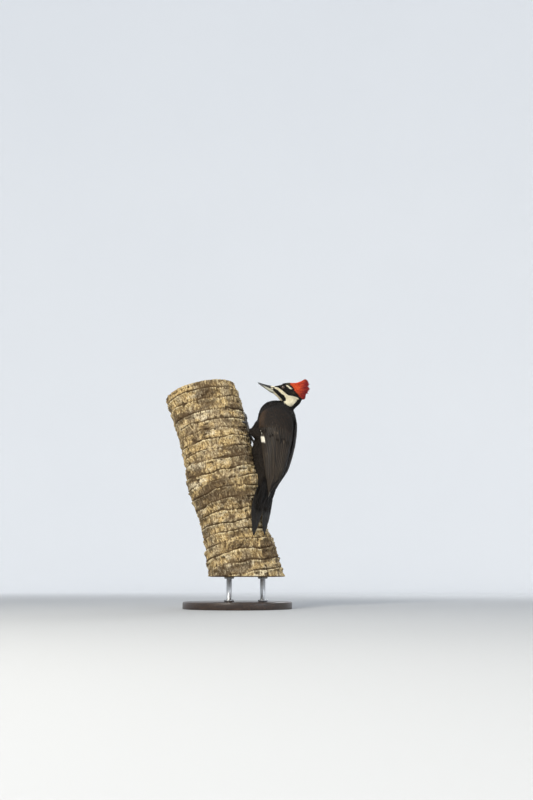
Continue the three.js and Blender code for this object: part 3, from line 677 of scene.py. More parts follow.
def fore_and_aft(top, bottom, width, inset):
    def place(x, turn):
        high, low = top(x) - inset, bottom(x) + inset
        z = (high + low) / 2 + np.cos(turn) * (high - low) / 2
        y = np.maximum(width(x) - inset, 0.8) * np.sin(turn)
        return from_head(stacked(x, y, z))

    return place


LEG_ENDS = {
    "left": (from_body([28, -30, 20]), on_perch(320, math.radians(64), 11)),
    "right": (from_body([-26, -30, 4]), on_perch(302, math.radians(96), 11)),
}


def straight(start, end, beside, radius):
    """A round solid from start to end, with its radius by the share of the way along."""
    along = unit(end - start)
    across = unit(np.cross(along, beside))

    def place(share, turn):
        share, turn = share[..., None], turn[..., None]
        outward = np.cos(turn) * across + np.sin(turn) * np.cross(across, along)
        return start + (end - start) * share + outward * radius(share)

    return place


def leg_radius(share):
    return 23 - 16 * share**0.7 - LEG_COAT


def fold_radius(share):
    return 14.8 - 4 * share - LEG_COAT


# The nape fills the hollow between the back of the head and the mantle.
nape_top = profile((-51, -10), (-44, -11), (-12, -12))
nape_low = profile(
    (-51, -15), (-49.5, -20), (-47.5, -27), (-44.5, -34), (-35, -44.5), (-24, -53), (-12, -54),
)
nape_width = profile((-51, 3), (-44, 9), (-36, 13), (-24, 16), (-12, 14))
flesh = [
    rings(np.linspace(-50, -14, 30), fore_and_aft(nape_top, nape_low, nape_width, NECK_COAT)),
    rings(np.linspace(-121, 112, 80), upright(torso_middle, torso_depth, torso_width, BODY_COAT)),
    rings(np.linspace(72, 133, 30), upright(neck_middle, neck_depth, neck_width, NECK_COAT)),
    rings(np.linspace(-42, 22.4, 60), fore_and_aft(head_top, head_bottom, head_width, HEAD_COAT)),
    rings(np.linspace(-55, 2, 50), fore_and_aft(crest_top, crest_bottom, crest_width, CREST_COAT)),
]
for knee, heel in LEG_ENDS.values():
    flesh.append(rings(np.linspace(0, 0.97, 30), straight(knee, heel, [0.0, 0.0, 1.0], leg_radius)))
# A fold of plumage runs down from the breast onto the near thigh.
FOLD_TOP = from_body([33, -27, 52])
fold_low = LEG_ENDS["left"][0] * 0.4 + LEG_ENDS["left"][1] * 0.6
flesh.append(rings(np.linspace(0, 1, 24), straight(FOLD_TOP, fold_low, [0.0, 1.0, 0.0], fold_radius)))


def joined(parts):
    """One set of points and faces from several."""
    points, face_sets, count = [], [], 0
    for part_points, part_faces in parts:
        points.append(part_points)
        face_sets += [faces + count for faces in part_faces]
        count += len(part_points)
    return np.concatenate(points), face_sets


def grown_together(parts, grain, smoothing):
    """The outer surface of several closed lofts as one even mesh: points, quads and triangles."""
    points, face_sets = joined(parts)
    mesh = bpy.data.meshes.new("flesh")
    faces = [face for face_set in face_sets for face in face_set.tolist()]
    mesh.from_pydata((points * MM).tolist(), [], faces)
    rough = bpy.data.objects.new("flesh", mesh)
    bpy.context.collection.objects.link(rough)
    remesh = rough.modifiers.new("remesh", "REMESH")
    remesh.mode = "VOXEL"
    remesh.voxel_size = grain * MM
    smooth = rough.modifiers.new("smooth", "SMOOTH")
    smooth.factor = 0.5
    smooth.iterations = smoothing
    even = rough.evaluated_get(bpy.context.evaluated_depsgraph_get()).to_mesh()
    out = np.empty(len(even.vertices) * 3)
    even.vertices.foreach_get("co", out)
    faces = [face.vertices[:] for face in even.polygons]
    quads, threes = (
        np.array([face for face in faces if len(face) == corners], int).reshape(-1, corners)
        for corners in (4, 3)
    )
    bpy.data.objects.remove(rough)
    bpy.data.meshes.remove(mesh)
    return out.reshape(-1, 3) / MM, quads, threes


skin_points, skin_quads, skin_threes = grown_together(flesh, 1.0, 10)

# Round each eye the skin rises to a rim over the ball, and drops away behind it inside the rim.
EYE_RADIUS = 4.7
EYE_SPREAD = 12.6
EYE_RIM = (3.85, 3.3)
LID_REACH = 5.0
for side in (1, -1):
    in_head = to_head(skin_points)
    reach = np.hypot(in_head[:, 0] / EYE_RIM[0], in_head[:, 2] / EYE_RIM[1])
    near = (reach < 2.6) & (side * in_head[:, 1] > 6)
    risen = 3.3 * (1 - between(reach, 1.0, 2.3))
    sunk = 5.5 * (1 - between(reach, 0.72, 0.98))
    keep = between(reach, 1.5, 2.5)
    shaped = side * in_head[:, 1] * keep + (EYE_SPREAD + risen - sunk) * (1 - keep)
    in_head[near, 1] = (side * shaped)[near]
    skin_points = from_head(in_head)

# The head's markings, each an outline in the side view of the head: forward, up.
WHITE_FACE = (
    (25, -3.0), (21.8, -3.2), (14.2, -2.6), (8.5, -3.6), (2.2, -6.8), (-6.4, -11.2), (-12.7, -15.2),
    (-17.5, -17.2), (-28.2, -16.4), (-38.3, -17.3), (-41.5, -19.5), (-39.2, -23.5), (-35.2, -30),
    (-30.9, -36), (-26.4, -40.2), (-22.3, -42.2), (-13.2, -40.5), (-7.9, -37.6), (-9.6, -35.2),
    (-12.2, -33.6), (-13.4, -29.6), (-11.8, -25.2), (-8.3, -19.4), (-3, -17), (0.8, -15.4),
    (4.5, -12.6), (9.1, -9.6), (14, -7.4), (20.9, -5.6), (25, -5.6),
)
WHITE_BROW = (
    (-5.9, 6.6), (-10.4, 6.4), (-16.9, 2.8), (-22.8, -0.8), (-21.3, -2.6), (-15.3, -0.4), (-8.4, 4.4),
)
PALE_CHIN = (
    (24, -11), (18.4, -13.2), (11, -18), (5, -22.2), (0.9, -25.4), (-3, -28.6), (-5.2, -31.5),
    (-5.4, -36), (3, -36), (6, -31), (24, -26),
)
RED_CROWN = (
    (-14.6, 40), (-14.9, 13.7), (-16.9, 9), (-22, 5.4), (-27, 0), (-30.5, -5), (-37.8, -9.5),
    (-40.8, -12.2), (-44, -14.5), (-48, -16.5), (-52, -19), (-80, -24), (-80, 40),
)
OLIVE_BROW = ((-5, 12.8), (-13.8, 14), (-16, 9), (-21, 4.5), (-13, 6.6), (-6, 9))


def inside(outline, x, y, soft):
    """How far points are inside an outline: 1 inside, 0 outside, eased over its edge."""
    outline = np.array(outline, float)
    crossings = np.zeros(x.shape, bool)
    nearest = np.full(x.shape, 1e9)
    for (x0, y0), (x1, y1) in zip(outline, np.roll(outline, -1, axis=0)):
        run, rise = x1 - x0, y1 - y0
        if rise != 0:
            crossings ^= ((y0 > y) != (y1 > y)) & (x < run * (y - y0) / rise + x0)
        share = np.clip(((x - x0) * run + (y - y0) * rise) / (run**2 + rise**2), 0, 1)
        nearest = np.minimum(nearest, np.hypot(x - x0 - share * run, y - y0 - share * rise))
    return between(np.where(crossings, nearest, -nearest), -soft, soft)


def markings(points):
    """White, red and brown shares of the plumage at points in millimetres, brown on the red being
    painted shade.
    """
    forward, across, up = to_head(points).T
    on_face = (to_body(points)[:, 2] > 96) * 1.0
    brow = inside(WHITE_BROW, forward, up, 0.5) * (np.abs(across) > 5)
    white = np.maximum(inside(WHITE_FACE, forward, up, 0.7), brow)
    chin = inside(PALE_CHIN, forward, up, 0.8) * (np.abs(across) < 13) * (up > -34)
    red = inside(RED_CROWN, forward, up, 0.9)
    olive = inside(OLIVE_BROW, forward, up, 1.0)
    ear = np.exp(-(((forward + 27) / 7) ** 2) - ((up + 9.5) / 4) ** 2) * (1 - red)
    shoulder = between(to_body(points)[:, 2], 60, 20) * 0.4 + 0.2
    round_eye = np.exp(-(((forward + 1) / 7) ** 2) - ((up - 1) / 5.2) ** 2)
    brown = np.where(on_face > 0, np.maximum(np.maximum(olive, round_eye), ear * 0.95), shoulder)
    # On the red crown the brown share is painted shade, darker towards the rear of the crest.
    brown = np.where(red > 0.5, between(-forward, 32, 54), brown)
    return stacked(np.maximum(white, chin * 0.8) * on_face, red * on_face, brown)


def plumage(name, black, worn, roughness):
    """A finish for feathers: black to brown, white or red as marked, with barbs across each vane."""
    made = Finish(name, roughness, specular_ior_level=0.2, sheen_weight=0.02, sheen_roughness=0.5)
    white_share, red_share, brown_and_painted_light_share = (made.mark("tone", "Vector").part(axis) for axis in "XYZ")
    split, along, chance = (made.mark("vane", "Vector").part(axis) for axis in "XYZ")
    cloud = made.place().noise(95, 3)
    dark = chance.mix(black, tuple(c * 1.7 for c in black))
    browned = (brown_and_painted_light_share.between(0, 0.7) * (0.35 + cloud * 0.9)).mix(dark, worn)
    olive = brown_and_painted_light_share.between(0.72, 1.0).mix(browned, (0.070, 0.060, 0.030))
    edge = along.between(0.55, 1.0) * (0.25 + chance * 0.4)
    edged = (edge * 0.8).mix(olive, tuple(c * 1.25 for c in worn))
    cream = chance.mix((0.95, 0.88, 0.66), (0.84, 0.76, 0.54))
    scarlet = chance.mix((0.74, 0.072, 0.018), (0.58, 0.038, 0.013))
    lit_scarlet = (along * cloud).between(0.05, 0.55).mix(scarlet, (0.82, 0.118, 0.027))
    # Painted shade: the red darkens to crimson towards the rear of the crest.
    shaded_crimson = (brown_and_painted_light_share * (0.75 + chance * 0.3)).mix(lit_scarlet, (0.170, 0.006, 0.014))
    made.set("Base Color", red_share.mix(white_share.mix(edged, cream), shaded_crimson))
    made.set("Roughness", roughness - 0.08 + chance * 0.16)
    made.bump((along * 46 - abs(split) * 9).sine(), 0.00008, 0.4)
    return made


black_plumage = plumage("black_plumage", (0.0038, 0.0034, 0.0034), (0.020, 0.0145, 0.010), 0.72)
skin_marks = {"tone": markings(skin_points), "vane": np.tile([0.0, 0.2, 0.3], (len(skin_points), 1))}
skin = make_piece("bird_skin", black_plumage, skin_points, [skin_quads, skin_threes], skin_marks)
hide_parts("torso", "neck", "head", "thigh_left", "thigh_right")

# ---- body feathers --------------------------------------------------------------------------------
# Small soft feathers in overlapping rows, each a closed vane rooted in the skin, that lie back from
# the bill, down the neck and along the body, and get smaller towards the face and the feet.


def leg_share(points):
    """How far each point is along the nearer leg, how far off its middle line, and that leg's way."""
    best_share = np.zeros(len(points))
    best_off = np.full(len(points), 1e9)
    best_way = np.zeros((len(points), 3))
    for knee, heel in LEG_ENDS.values():
        length = np.linalg.norm(heel - knee)
        way = unit(heel - knee)
        share = np.clip((points - knee) @ way / length, 0, 1)
        off = np.linalg.norm(points - knee - way * (share * length)[:, None], axis=1)
        closer = off < best_off
        best_share = np.where(closer, share, best_share)
        best_off = np.where(closer, off, best_off)
        best_way[closer] = way
    return best_share, best_off, best_way


def feather_lie(points):
    """The way the plumage lies: back over the head, down the neck, along the body, down the legs."""
    height = to_body(points)[:, 2]
    up = to_head(points)[:, 2]
    on_head = between(height, 108, 132)[:, None]
    lift = (between(up, 4, 16) * 0.45 - 0.35 * between(-up, 12, 34))[:, None]
    head_way = -head_forward + head_up * lift
    body_way = -spine + back * (0.10 * between(height, 100, 60))[:, None]
    way = head_way * on_head + body_way * (1 - on_head)
    _, off, leg_way = leg_share(points)
    outside = torso_outside(*to_body(points).T)
    on_leg = (between(outside, 0.98, 1.10) * (height < 70) * (off < 26))[:, None]
    return unit(way * (1 - on_leg) + leg_way * on_leg)


def body_unwrap(points):
    """The place of each point on a flat pattern of the skin: trunk below, head and legs above."""
    x, y, z = to_body(points).T
    forward, across, up = to_head(points).T
    turn = np.arctan2(x, y) / (2 * math.pi) + 0.5
    trunk = stacked(0.02 + 0.96 * turn, 0.02 + 0.56 * np.clip((z + 130) / 250, 0, 1))
    head_turn = np.arctan2(across, -(up + 8)) / (2 * math.pi) + 0.5
    head = stacked(0.02 + 0.56 * head_turn, 0.62 + 0.36 * np.clip((forward + 66) / 92, 0, 1))
    share, off, way = leg_share(points)
    rim = points - BODY_CENTRE
    leg_turn = np.arctan2(rim @ np.cross(way[0], [0, 0, 1.0]), rim[:, 2]) / (2 * math.pi) + 0.5
    leg = stacked(0.62 + 0.36 * leg_turn, 0.62 + 0.36 * share)
    on_leg = ((torso_outside(x, y, z) > 1.06) & (off < 24))[:, None]
    return np.where((z > 112)[:, None], head, np.where(on_leg, leg, trunk))


BAKE_PATCH = 0.0015
skin_faces = np.concatenate([skin_quads[:, [0, 1, 2]], skin_quads[:, [0, 2, 3]], skin_threes])
skin_tree = BVHTree.FromPolygons(skin_points.tolist(), skin_faces.tolist())


def spread(points, spacing, seed):
    """Which of some points to keep so that no two kept ones are closer than the spacing."""
    order = np.random.default_rng(seed).permutation(len(points))
    cells = np.floor(points / spacing).astype(int).tolist()
    listed = points.tolist()
    near = [(i, j, k) for i in (-1, 0, 1) for j in (-1, 0, 1) for k in (-1, 0, 1)]
    taken = {}
    kept = []
    for i in order.tolist():
        a, b, c = cells[i]
        x, y, z = listed[i]
        others = (other for u, v, w in near for other in taken.get((a + u, b + v, c + w), ()))
        if all((p - x) ** 2 + (q - y) ** 2 + (r - z) ** 2 >= spacing**2 for p, q, r in others):
            taken.setdefault((a, b, c), []).append((x, y, z))
            kept.append(i)
    return np.array(kept)


def roots_on_skin(region, spacing, seed):
    """Roots spread evenly over the part of the skin for which region is true."""
    chance = np.random.default_rng(seed)
    a, b, c = (skin_points[skin_faces[:, i]] for i in range(3))
    wanted = region((a + b + c) / 3)
    a, b, c = a[wanted], b[wanted], c[wanted]
    area = np.linalg.norm(np.cross(b - a, c - a), axis=1) / 2
    count = int(area.sum() / spacing**2 * 4)
    face = chance.choice(len(area), count, p=area / area.sum())
    u, v = chance.random(count), chance.random(count)
    over = u + v > 1
    u, v = np.where(over, 1 - u, u)[:, None], np.where(over, 1 - v, v)[:, None]
    points = a[face] + (b - a)[face] * u + (c - a)[face] * v
    return points[spread(points, spacing, seed)]


def on_skin(points):
    """The nearest points of the skin and its outward directions there."""
    found = [skin_tree.find_nearest(p)[:2] for p in points.tolist()]
    place, outward = np.array(found).transpose(1, 0, 2)
    return place, unit(outward)


def vane_section(columns):
    """Points round a thin vane: places across it, and 1 above, 0 at the edges, -1 below."""
    across = np.concatenate([np.linspace(-1, 1, columns), np.linspace(1, -1, columns)[1:-1]])
    above = np.concatenate([np.zeros(1), np.ones(columns - 2), np.zeros(1), -np.ones(columns - 2)])
    return across, above


def vane_faces(count, rows, ring):
    """The faces of many closed vanes that follow each other."""
    quads, low_end, high_end = tube_faces(rows, ring)
    ends = np.concatenate([low_end, high_end])
    start = (np.arange(count) * rows * ring)[:, None, None]
    return [(quads + start).reshape(-1, 4), (ends + start).reshape(-1, ring)]


def frayed(chance, ragged, lengths, s, columns):
    """How far each point near the tip of each vane runs ahead or stays back."""
    fray = chance.uniform(-ragged, ragged, (len(lengths), 1, 2 * columns - 2))
    fray[:, :, columns:] = fray[:, :, 1 : columns - 1][:, :, ::-1]
    return (fray * (s[None, :, None] ** 3) * lengths[:, None, None])[..., None]


def vane_sheet(points, tone, w, s, roots, chance):
    """Points, faces, marks and bake map of closed vanes, with one chance value and root for each."""
    vane = stacked(w[None, None, :], s[None, :, None], chance.random(len(roots))[:, None, None])
    patch = stacked(w[None, None, :], 2 * s[None, :, None] - 1) * BAKE_PATCH
    bake = body_unwrap(roots)[:, None, None] + patch + 0 * vane[..., :2]
    faces = vane_faces(len(roots), len(s), len(w))
    return points, faces, {"tone": tone, "vane": vane.reshape(-1, 3)}, bake.reshape(-1, 2)


def laid_vanes(roots, lie, length, width, depth, seed, rows=5, ragged=0.16, columns=3):
    """Closed vanes that follow the skin from their roots, coloured by where each one shows."""
    chance = np.random.default_rng(seed)
    count = len(roots)
    root, outward = on_skin(roots)
    lie = unit(lie - outward * (lie * outward).sum(1, keepdims=True))
    swing = chance.normal(0, 0.10, count)[:, None]
    lie = unit(lie + np.cross(outward, lie) * swing)
    middle, middle_out = on_skin(root + lie * (length * 0.5)[:, None])
    tip, tip_out = on_skin(root + lie * length[:, None])
    s = np.linspace(0, 1, rows)
    share = s[None, :, None]
    line = root[:, None] * (1 - share) * (1 - 2 * share)
    line = line + middle[:, None] * 4 * share * (1 - share) + tip[:, None] * share * (2 * share - 1)
    out = outward[:, None] * (1 - share) ** 2 + middle_out[:, None] * 2 * share * (1 - share)
    out = unit(out + tip_out[:, None] * share**2)
    ahead = np.gradient(line, axis=1)
    across = unit(np.cross(out, ahead))
    w, above = vane_section(columns)
    taper = 1 - 0.86 * (np.maximum(s - 0.45, 0) / 0.55) ** 1.7
    blade = np.maximum(0.2, np.minimum(1, (s + 0.02) * 2.6) ** 0.7) * taper
    fray = frayed(chance, ragged, length, s, columns)
    swell = 0.16 + 0.84 * (1 - (1 - s) ** 2.2)
    height = depth[:, None] * swell[None]
    height = height + chance.uniform(-0.06, 0.07, count)[:, None] * depth[:, None] * s[None]
    thick = 0.04 + 0.07 * (1 - s)
    cup = -0.10 * (width[:, None] * blade[None])
    half = width[:, None] / 2 * blade[None]
    lift = height[:, :, None] + cup[:, :, None] * w**2 + thick[None, :, None] * above
    points = (
        line[:, :, None]
        + across[:, :, None] * (half[:, :, None] * w)[..., None]
        + unit(ahead)[:, :, None] * fray
        + out[:, :, None] * lift[..., None]
    )
    tone = np.repeat(markings(root * 0.3 + tip * 0.7), rows * len(w), axis=0)
    return vane_sheet(points.reshape(-1, 3), tone, w, s, root, chance)


# The edges of the folded wing: turn from the back, in degrees, by height.
wing_low_edge = profile(
    (-128, 62), (-80, 82), (-30, 96), (14, 112), (32, 120), (62, 121), (82, 110), (92, 84),
)
wing_back_edge = profile(
    (-128, 52), (-112, 40), (-98, 24), (-84, 9), (-40, 6), (40, 8), (66, 14), (84, 34), (92, 66),
)


def height_and_turn(points, middle):
    """Height up the body, and degrees round it from the back, of points on either side."""
    x, y, z = to_body(points).T
    return z, np.degrees(np.arctan2(np.abs(x), y - middle(z)))


def under_wing(points):
    z, turn = height_and_turn(points, torso_middle)
    return (turn > wing_back_edge(z) + 7) & (turn < wing_low_edge(z) - 10) & (z > -118) & (z < 84)


BACK, NECK, HEAD, FACE, CREST, LEGS, BREAST, BELLY, BARE = range(9)


def region_of(points):
    """Which part of the coat each point of the skin belongs to."""
    x, y, z = to_body(points).T
    forward, across, up = to_head(points).T
    _, off, _ = leg_share(points)
    outside = torso_outside(x, y, z)
    on_back = np.abs(np.arctan2(x, y - torso_middle(z))) < 1.5
    region = np.where(on_back, BACK, np.where(z > 20, BREAST, BELLY))
    region[z > 92] = NECK
    head = (forward > -60) & (up > -38) & (z > 112)
    region[head] = HEAD
    region[head & (forward > -6)] = FACE
    region[head & (markings(points)[:, 1] > 0.5)] = CREST
    region[(outside > 1.02) & (z < 75) & (off < 26)] = LEGS
    region[under_wing(points) & (outside < 1.02)] = BARE
    eye_reach = np.hypot(forward / EYE_RIM[0], up / EYE_RIM[1])
    region[(eye_reach < 1.12) & (np.abs(across) > 6) & head] = BARE
    region[(forward > 21.8) & head] = BARE
    return region


# Each kind of coat: region, spacing of the roots, length, width, depth, rows, raggedness.
COATS = {
    "coat_back": (BACK, 2.0, 11.5, 3.0, BODY_COAT * 0.92, 5, 0.15),
    "coat_breast": (BREAST, 2.0, 11.5, 3.0, BODY_COAT * 0.92, 5, 0.17),
    "coat_belly": (BELLY, 2.0, 11.5, 3.0, BODY_COAT * 0.92, 5, 0.17),
    "coat_neck": (NECK, 1.45, 8.0, 2.0, NECK_COAT * 0.92, 5, 0.18),
    "coat_head": (HEAD, 1.05, 5.4, 1.35, HEAD_COAT * 0.85, 5, 0.20),
    "coat_face": (FACE, 0.80, 3.6, 0.95, HEAD_COAT * 0.62, 4, 0.20),
    "coat_legs": (LEGS, 1.5, 7.5, 2.0, LEG_COAT * 0.9, 5, 0.20),
}
for number, (coat_name, sizes_of_coat) in enumerate(COATS.items()):
    region, spacing, length, width, depth, rows, ragged = sizes_of_coat
    roots = roots_on_skin(lambda p: region_of(p) == region, spacing, 100 + number)
    chance = np.random.default_rng(200 + number)
    sizes = chance.uniform(0.85, 1.18, len(roots))
    if coat_name == "coat_legs":
        sizes = sizes * (1.0 - 0.45 * leg_share(roots)[0])
    depths = depth * chance.uniform(0.85, 1.1, len(roots))
    vanes = laid_vanes(
        roots, feather_lie(roots), length * sizes, width * sizes, depths, 300 + number, rows, ragged
    )
    coat = make_piece(coat_name, black_plumage, *vanes)

# ---- crest ----------------------------------------------------------------------------------------
# Long narrow feathers of the hind crown, swept back and up to a ragged edge behind the head: short
# ones laid over the skull, and long free plumes that fan out from it.

crest_plumage = plumage("crest_plumage", (0.0062, 0.0056, 0.0052), (0.026, 0.019, 0.013), 0.55)
roots = roots_on_skin(lambda p: region_of(p) == CREST, 1.25, 120)
chance = np.random.default_rng(121)
forward, across, up = to_head(roots).T
crest_rise = 0.42 * between(up, -14, 16) - 0.30 * between(-up, -2, 18)
crest_way = unit(stacked(-1.0, 0.0, crest_rise)) @ head_axes
length = 11 + 7 * between(-forward, 24, 50) + chance.uniform(-2, 2, len(roots))
to_rear = np.clip(forward + 62, 5, 99)
length = np.minimum(length, to_rear + chance.uniform(-1, 3.5, len(roots)))
width = chance.uniform(1.5, 2.3, len(roots))
depths = CREST_COAT * chance.uniform(0.95, 1.08, len(roots))
crest_vanes = laid_vanes(roots, crest_way, length, width, depths, 122, 6, 0.14)
crest_coat = make_piece("crest_coat", crest_plumage, *crest_vanes)


def rounded_tip(s, start, end):
    """The width of a vane that is full up to the start of its tip, and round from there."""
    return np.sqrt(np.maximum(0, 1 - (np.maximum(s - start, 0) / (end - start)) ** 2))


def free_vanes(spines, sideways, widths, seed, tone, ragged=0.1, thickness=0.22, columns=4, tip=0.5):
    """Closed vanes along given middle lines, all with one sideways direction."""
    chance = np.random.default_rng(seed)
    rows = spines.shape[1]
    s = np.linspace(0, 1, rows)
    w, above = vane_section(columns)
    blade = np.maximum(0.2, np.minimum(1, (s + 0.03) * 3) ** 0.6) * rounded_tip(s, tip, 1.04)
    ahead = np.gradient(spines, axis=1)
    level = (sideways * ahead).sum(-1, keepdims=True) / (ahead**2).sum(-1, keepdims=True)
    across = unit(sideways - ahead * level)
    out = unit(np.cross(ahead, across))
    half = widths[:, None, None] / 2 * blade[None, :, None] * w
    fray = frayed(chance, ragged, np.linalg.norm(spines[:, -1] - spines[:, 0], axis=1), s, columns)
    points = (
        spines[:, :, None]
        + across[:, :, None] * half[..., None]
        + unit(ahead)[:, :, None] * fray
        + out[:, :, None] * (thickness * above)[:, None]
    ).reshape(-1, 3)
    tone = tone(points) if callable(tone) else np.tile(tone, (len(points), 1))
    return vane_sheet(points, tone, w, s, spines[:, 0], chance)


# The rear edge of the crest, from its top corner down to the nape: long plumes that end there.
REAR_EDGE = np.array((
    (-38, 19), (-45, 23.5), (-51.5, 30), (-56, 25), (-60, 19.5), (-58, 14), (-63, 10.5), (-60.5, 4),
    (-60, -1), (-55.5, -7), (-51.5, -12), (-47.5, -15.5),
), float)
PLUMES = 620
chance = np.random.default_rng(131)
fan = np.sort(chance.random(PLUMES))
edge_place = fan * (len(REAR_EDGE) - 1)
low_index = np.minimum(edge_place.astype(int), len(REAR_EDGE) - 2)
blend = (edge_place - low_index)[:, None]
ends = REAR_EDGE[low_index] * (1 - blend) + REAR_EDGE[low_index + 1] * blend
starts = stacked(-14 - 22 * fan - 6 * np.sin(math.pi * fan), 13 - 24 * fan)
begin = starts + (ends - starts) * chance.uniform(0.05, 0.45, PLUMES)[:, None]
ends = ends + chance.normal(0, 0.9, (PLUMES, 2)) - (ends - starts) * chance.uniform(0, 0.10, (PLUMES, 1))
lateral = chance.uniform(-1, 1, PLUMES)
s = np.linspace(0, 1, 9)[None, :]
bow = np.sin(math.pi * s) * (-1.8 + 2.6 * fan[:, None])
path_x = begin[:, :1] * (1 - s) + ends[:, :1] * s
path_z = begin[:, 1:] * (1 - s) + ends[:, 1:] * s + bow
path_y = lateral[:, None] * np.maximum(crest_width(path_x) * 0.92, 1.0) * (1 - 0.55 * s**2)


def plume_tone(points):
    # Red, with painted shade towards the rear of the crest.
    return stacked(0.0, 1.0, between(-to_head(points)[:, 0], 32, 54))


spines = from_head(stacked(path_x, path_y, path_z))
widths = chance.uniform(1.2, 2.2, PLUMES)
plumes = make_piece(
    "crest_plumes", crest_plumage, *free_vanes(spines, head_up, widths, 132, plume_tone, 0.04, 0.12, 3)
)
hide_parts("crest")

# ---- wings ----------------------------------------------------------------------------------------
# Each folded wing: a thin dark underlayer, then primaries, secondaries and their coverts as single
# long vanes with raised shafts, laid like tiles with the ones nearest the back on top.

WING_TIP = -128
WING_TOP = 92
RIGHT_WING_TIP = -106
right_wing_tuck = profile((RIGHT_WING_TIP, 3.5), (-80, 5), (-50, 0))
wing_middle = profile((-128, 5), (-100, -0.5), (-60, -4), (0, -6.6), (50, -9.7), (92, -13))
wing_reach_back = profile(
    (-128, 7), (-112, 20), (-80, 31.6), (-40, 40.3), (0, 44.6), (34, 45.9), (62, 45.5), (92, 36),
)
wing_reach_side = profile(
    (-128, 14), (-112, 24), (-80, 34), (-40, 40), (0, 44), (34, 45.5), (62, 45), (92, 36),
)


def on_wing(side, z, across, layer, off=0.0):
    """Points of a folded wing: across is 0 at its low edge and 1 at its back edge."""
    z, across, layer, off = np.broadcast_arrays(*(np.asarray(v, float) for v in (z, across, layer, off)))
    low = wing_low_edge(z)
    turn = np.radians(low + across * (wing_back_edge(z) - low))
    along = np.clip((z - WING_TIP) / (WING_TOP - WING_TIP), 0, 1)
    inner = np.clip(across, 0.0, 1.0)
    swell = np.sin(math.pi * inner) ** 0.6 * np.sin(math.pi * (0.06 + 0.88 * along)) ** 0.5
    wrist = 4.5 * np.exp(-(((z - 46) / 17) ** 2)) * np.exp(-(((across - 0.05) / 0.13) ** 2))
    lift = 0.6 + layer * (0.8 + 5.7 * swell) + wrist + off
    tip = WING_TIP if side > 0 else RIGHT_WING_TIP
    height = tip + (z - WING_TIP) * (WING_TOP - tip) / (WING_TOP - WING_TIP)
    x = side * (wing_reach_side(z) + lift) * np.sin(turn)
    y = wing_middle(z) + (wing_reach_back(z) + lift) * np.cos(turn)
    y = y - (side < 0) * right_wing_tuck(height)
    return from_body(stacked(x, y, height))


def place_on_wing(points):
    """Height, and place across the wing, of points on either wing."""
    z, turn = height_and_turn(points, wing_middle)
    low = wing_low_edge(z)
    return z, (low - turn) / (low - wing_back_edge(z))


def wing_breadth(z):
    """Millimetres round the wing from its low edge to its back edge."""
    span = np.radians(wing_low_edge(z) - wing_back_edge(z))
    return span * (wing_reach_side(z) + wing_reach_back(z)) / 2


# Round a long vane: place across it and height, over the raised shaft and back under it.
VANE_ACROSS = np.array([-1, -0.8, -0.5, -0.22, -0.07, 0.07, 0.3, 0.65, 1.0, 0.65, 0.2, -0.2, -0.65])
VANE_RIDGE = np.array([0, 0.05, 0.1, 0.14, 0.42, 0.42, 0.14, 0.08, 0, -0.16, -0.16, -0.16, -0.16])


def flight_vanes(surface, feathers, rows, seed, tone, notch=0.06):
    """Long closed vanes on a surface given by (lengthwise place, crosswise place, width, layer, off).
    Each feather: root and tip lengthwise, root and tip crosswise, half width, layers, tip shape."""
    chance = np.random.default_rng(seed)
    w = VANE_ACROSS
    s = np.linspace(0, 1, rows) ** 0.85
    tilt = -0.55 * np.sign(w) * np.abs(w) ** 1.2 - 0.25 * w**2
    points, vane, strips = [], [], []
    for number, feather in enumerate(feathers):
        long0, long1, cross0, cross1, half, layer0, layer1, tip_at, tip_skew = feather
        place = long0 + (long1 - long0) * s
        centre = cross0 + (cross1 - cross0) * s**1.15
        body = np.minimum(1, (s + 0.04) * 5) ** 0.5
        taper = rounded_tip(s, tip_at, 1.008)
        edge = 1 + chance.normal(0, 0.018, (rows, 1)) * np.abs(w) ** 3
        for _ in range(2):
            cut = chance.uniform(0.3, 0.95)
            side_cut = chance.choice([-1, 1])
            edge = edge - notch * np.exp(-(((s[:, None] - cut) / 0.02) ** 2)) * (w * side_cut > 0.6)
        wide = (half * body * np.maximum(taper, 0.03))[:, None] * w * edge
        layer = (layer0 + (layer1 - layer0) * s)[:, None] + 0 * w
        skew = tip_skew * (s**6)[:, None] * np.abs(w)
        lengthwise = place[:, None] + skew * np.sign(long1 - long0)
        points.append(surface(lengthwise, centre[:, None], wide, layer, VANE_RIDGE + tilt))
        vane.append(stacked(w[None], s[:, None], chance.random()))
        columns = (number + 0.5 + 0.42 * w) / len(feathers)
        strips.append(stacked(columns[None], 0.03 + 0.94 * s[:, None]))
    points = np.concatenate(points).reshape(-1, 3)
    vane = np.concatenate(vane).reshape(-1, 3)
    marks = {"tone": tone(points, vane), "vane": vane}
    return points, vane_faces(len(feathers), rows, len(w)), marks, np.concatenate(strips).reshape(-1, 2)


